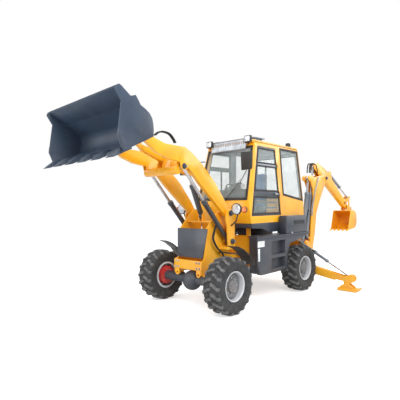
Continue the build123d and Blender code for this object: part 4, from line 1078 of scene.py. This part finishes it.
# slotted panels on the toolboxes and the skirt
vents = {"count": 5, "low": 1.545, "pitch": 0.018, "height": 0.006}
dark, lids, latches, ends = Form(), Form(), Form(), Form()
for s in (1, -1):
    # a near-black sheet behind the slats: painted shade in the gaps between them
    dark.box(-1.53, -1.04, s * sideFace, s * (sideFace + 0.003), 1.535, 1.626)
    for i in range(vents["count"]):
        z = vents["low"] + i * vents["pitch"]
        lids.box(-1.52, -1.05, s * (sideFace + 0.001), s * (sideFace + 0.009), z, z + vents["height"])
    ends.box(-0.86, -0.69, s * 0.722, s * 0.742, 1.345, 1.598)
    latches.box(-0.96, -0.91, s * (sideFace + 0.001), s * (sideFace + 0.014), 1.33, 1.37)
dark.piece("VentRecess", "toolboxes", blackPlastic, 0)
lids.piece("VentSlats", "toolboxes", slate, 0)
ends.piece("SkirtEnds", "cab_skirt", slate, 0.003)
latches.piece("BoxLatches", "toolboxes", bareSteel, 0.002)

viewFrom = {
    "place": (7.215, 5.162, 1.965), "turn": 0.75665, "pitch": 0.00055, "roll": -0.0104,
    "lens": 33.286, "shiftX": 0.00103, "shiftY": 0.01643,
}
turn, pitch, roll = viewFrom["turn"], viewFrom["pitch"], viewFrom["roll"]
forward = Vector((-math.cos(turn) * math.cos(pitch), -math.sin(turn) * math.cos(pitch), -math.sin(pitch)))
flatRight = Vector((-math.sin(turn), math.cos(turn), 0.0))
flatUp = flatRight.cross(forward)
right = math.cos(roll) * flatRight + math.sin(roll) * flatUp
up = -math.sin(roll) * flatRight + math.cos(roll) * flatUp
cameraData = bpy.data.cameras.new("camera")
camera = bpy.data.objects.new("camera", cameraData)
bpy.context.scene.collection.objects.link(camera)
camera.matrix_world = Matrix((
    (right.x, up.x, -forward.x, viewFrom["place"][0]),
    (right.y, up.y, -forward.y, viewFrom["place"][1]),
    (right.z, up.z, -forward.z, viewFrom["place"][2]),
    (0, 0, 0, 1),
))
cameraData.lens, cameraData.sensor_width = viewFrom["lens"], 36.0
cameraData.shift_x, cameraData.shift_y = viewFrom["shiftX"], viewFrom["shiftY"]
cameraData.clip_end = 200
bpy.context.scene.camera = camera

lamps = (  # name, place, size, power
    ("key", (6.5, 9.0, 9.0), 6.0, 900),
    ("fill", (11.0, -3.0, 5.0), 7.0, 420),
    ("back", (-9.0, 6.0, 7.0), 6.0, 380),
    ("top", (0.0, 0.0, 11.0), 9.0, 520),
)
for name, place, size, power in lamps:
    data = bpy.data.lights.new(name, "AREA")
    data.energy, data.size = power, size
    lamp = bpy.data.objects.new(name, data)
    bpy.context.scene.collection.objects.link(lamp)
    lamp.location = place
    lamp.rotation_euler = (Vector((0, 0, 1.4)) - Vector(place)).to_track_quat("-Z", "Y").to_euler()

world = bpy.data.worlds.new("studio")
bpy.context.scene.world = world
world.use_nodes = True
tree = world.node_tree
tree.nodes.clear()
worldOut = tree.nodes.new("ShaderNodeOutputWorld")
seen = tree.nodes.new("ShaderNodeBackground")
lit = tree.nodes.new("ShaderNodeBackground")
paths = tree.nodes.new("ShaderNodeLightPath")
either = tree.nodes.new("ShaderNodeMath")
either.operation = "MAXIMUM"
join = tree.nodes.new("ShaderNodeMixShader")
seen.inputs["Color"].default_value = (1, 1, 1, 1)
seen.inputs["Strength"].default_value = 1.0
lit.inputs["Color"].default_value = (0.95, 0.97, 1.0, 1)
lit.inputs["Strength"].default_value = 0.62
mirrored = tree.nodes.new("ShaderNodeMath")
mirrored.operation = "MAXIMUM"
tree.links.new(paths.outputs["Is Camera Ray"], either.inputs[0])
tree.links.new(paths.outputs["Is Transmission Ray"], either.inputs[1])
tree.links.new(either.outputs[0], mirrored.inputs[0])
tree.links.new(paths.outputs["Is Glossy Ray"], mirrored.inputs[1])
tree.links.new(mirrored.outputs[0], join.inputs["Fac"])
tree.links.new(lit.outputs[0], join.inputs[1])
tree.links.new(seen.outputs[0], join.inputs[2])
tree.links.new(join.outputs[0], worldOut.inputs["Surface"])

floorMesh = bpy.data.meshes.new("floor")
floorHalf = 60.0
floorMesh.from_pydata(
    [(x * floorHalf, y * floorHalf, 0) for x, y in ((-1, -1), (1, -1), (1, 1), (-1, 1))],
    [], [(0, 1, 2, 3)],
)
floor = bpy.data.objects.new("floor", floorMesh)
bpy.context.scene.collection.objects.link(floor)
f = Finish("floorWhite")
diffuse = f.node("BsdfDiffuse", Color=(0.9, 0.9, 0.9))
glow = f.node("Emission", Color=(1.0, 1.0, 1.0), Strength=0.55)
both = f.node("AddShader", i0=diffuse, i1=glow)
plainLight = f.node("BsdfDiffuse", Color=(0.8, 0.8, 0.8))
cameraRay = f.node("LightPath", out=0)
shown = f.node("MixShader", i0=cameraRay, i1=plainLight, i2=both)
f.tree.links.new(shown.socket, f.end.inputs["Surface"])
floorMesh.materials.append(f.material)
bpy.context.scene.view_settings.view_transform = "Standard"
print("camera, lights and floor set")
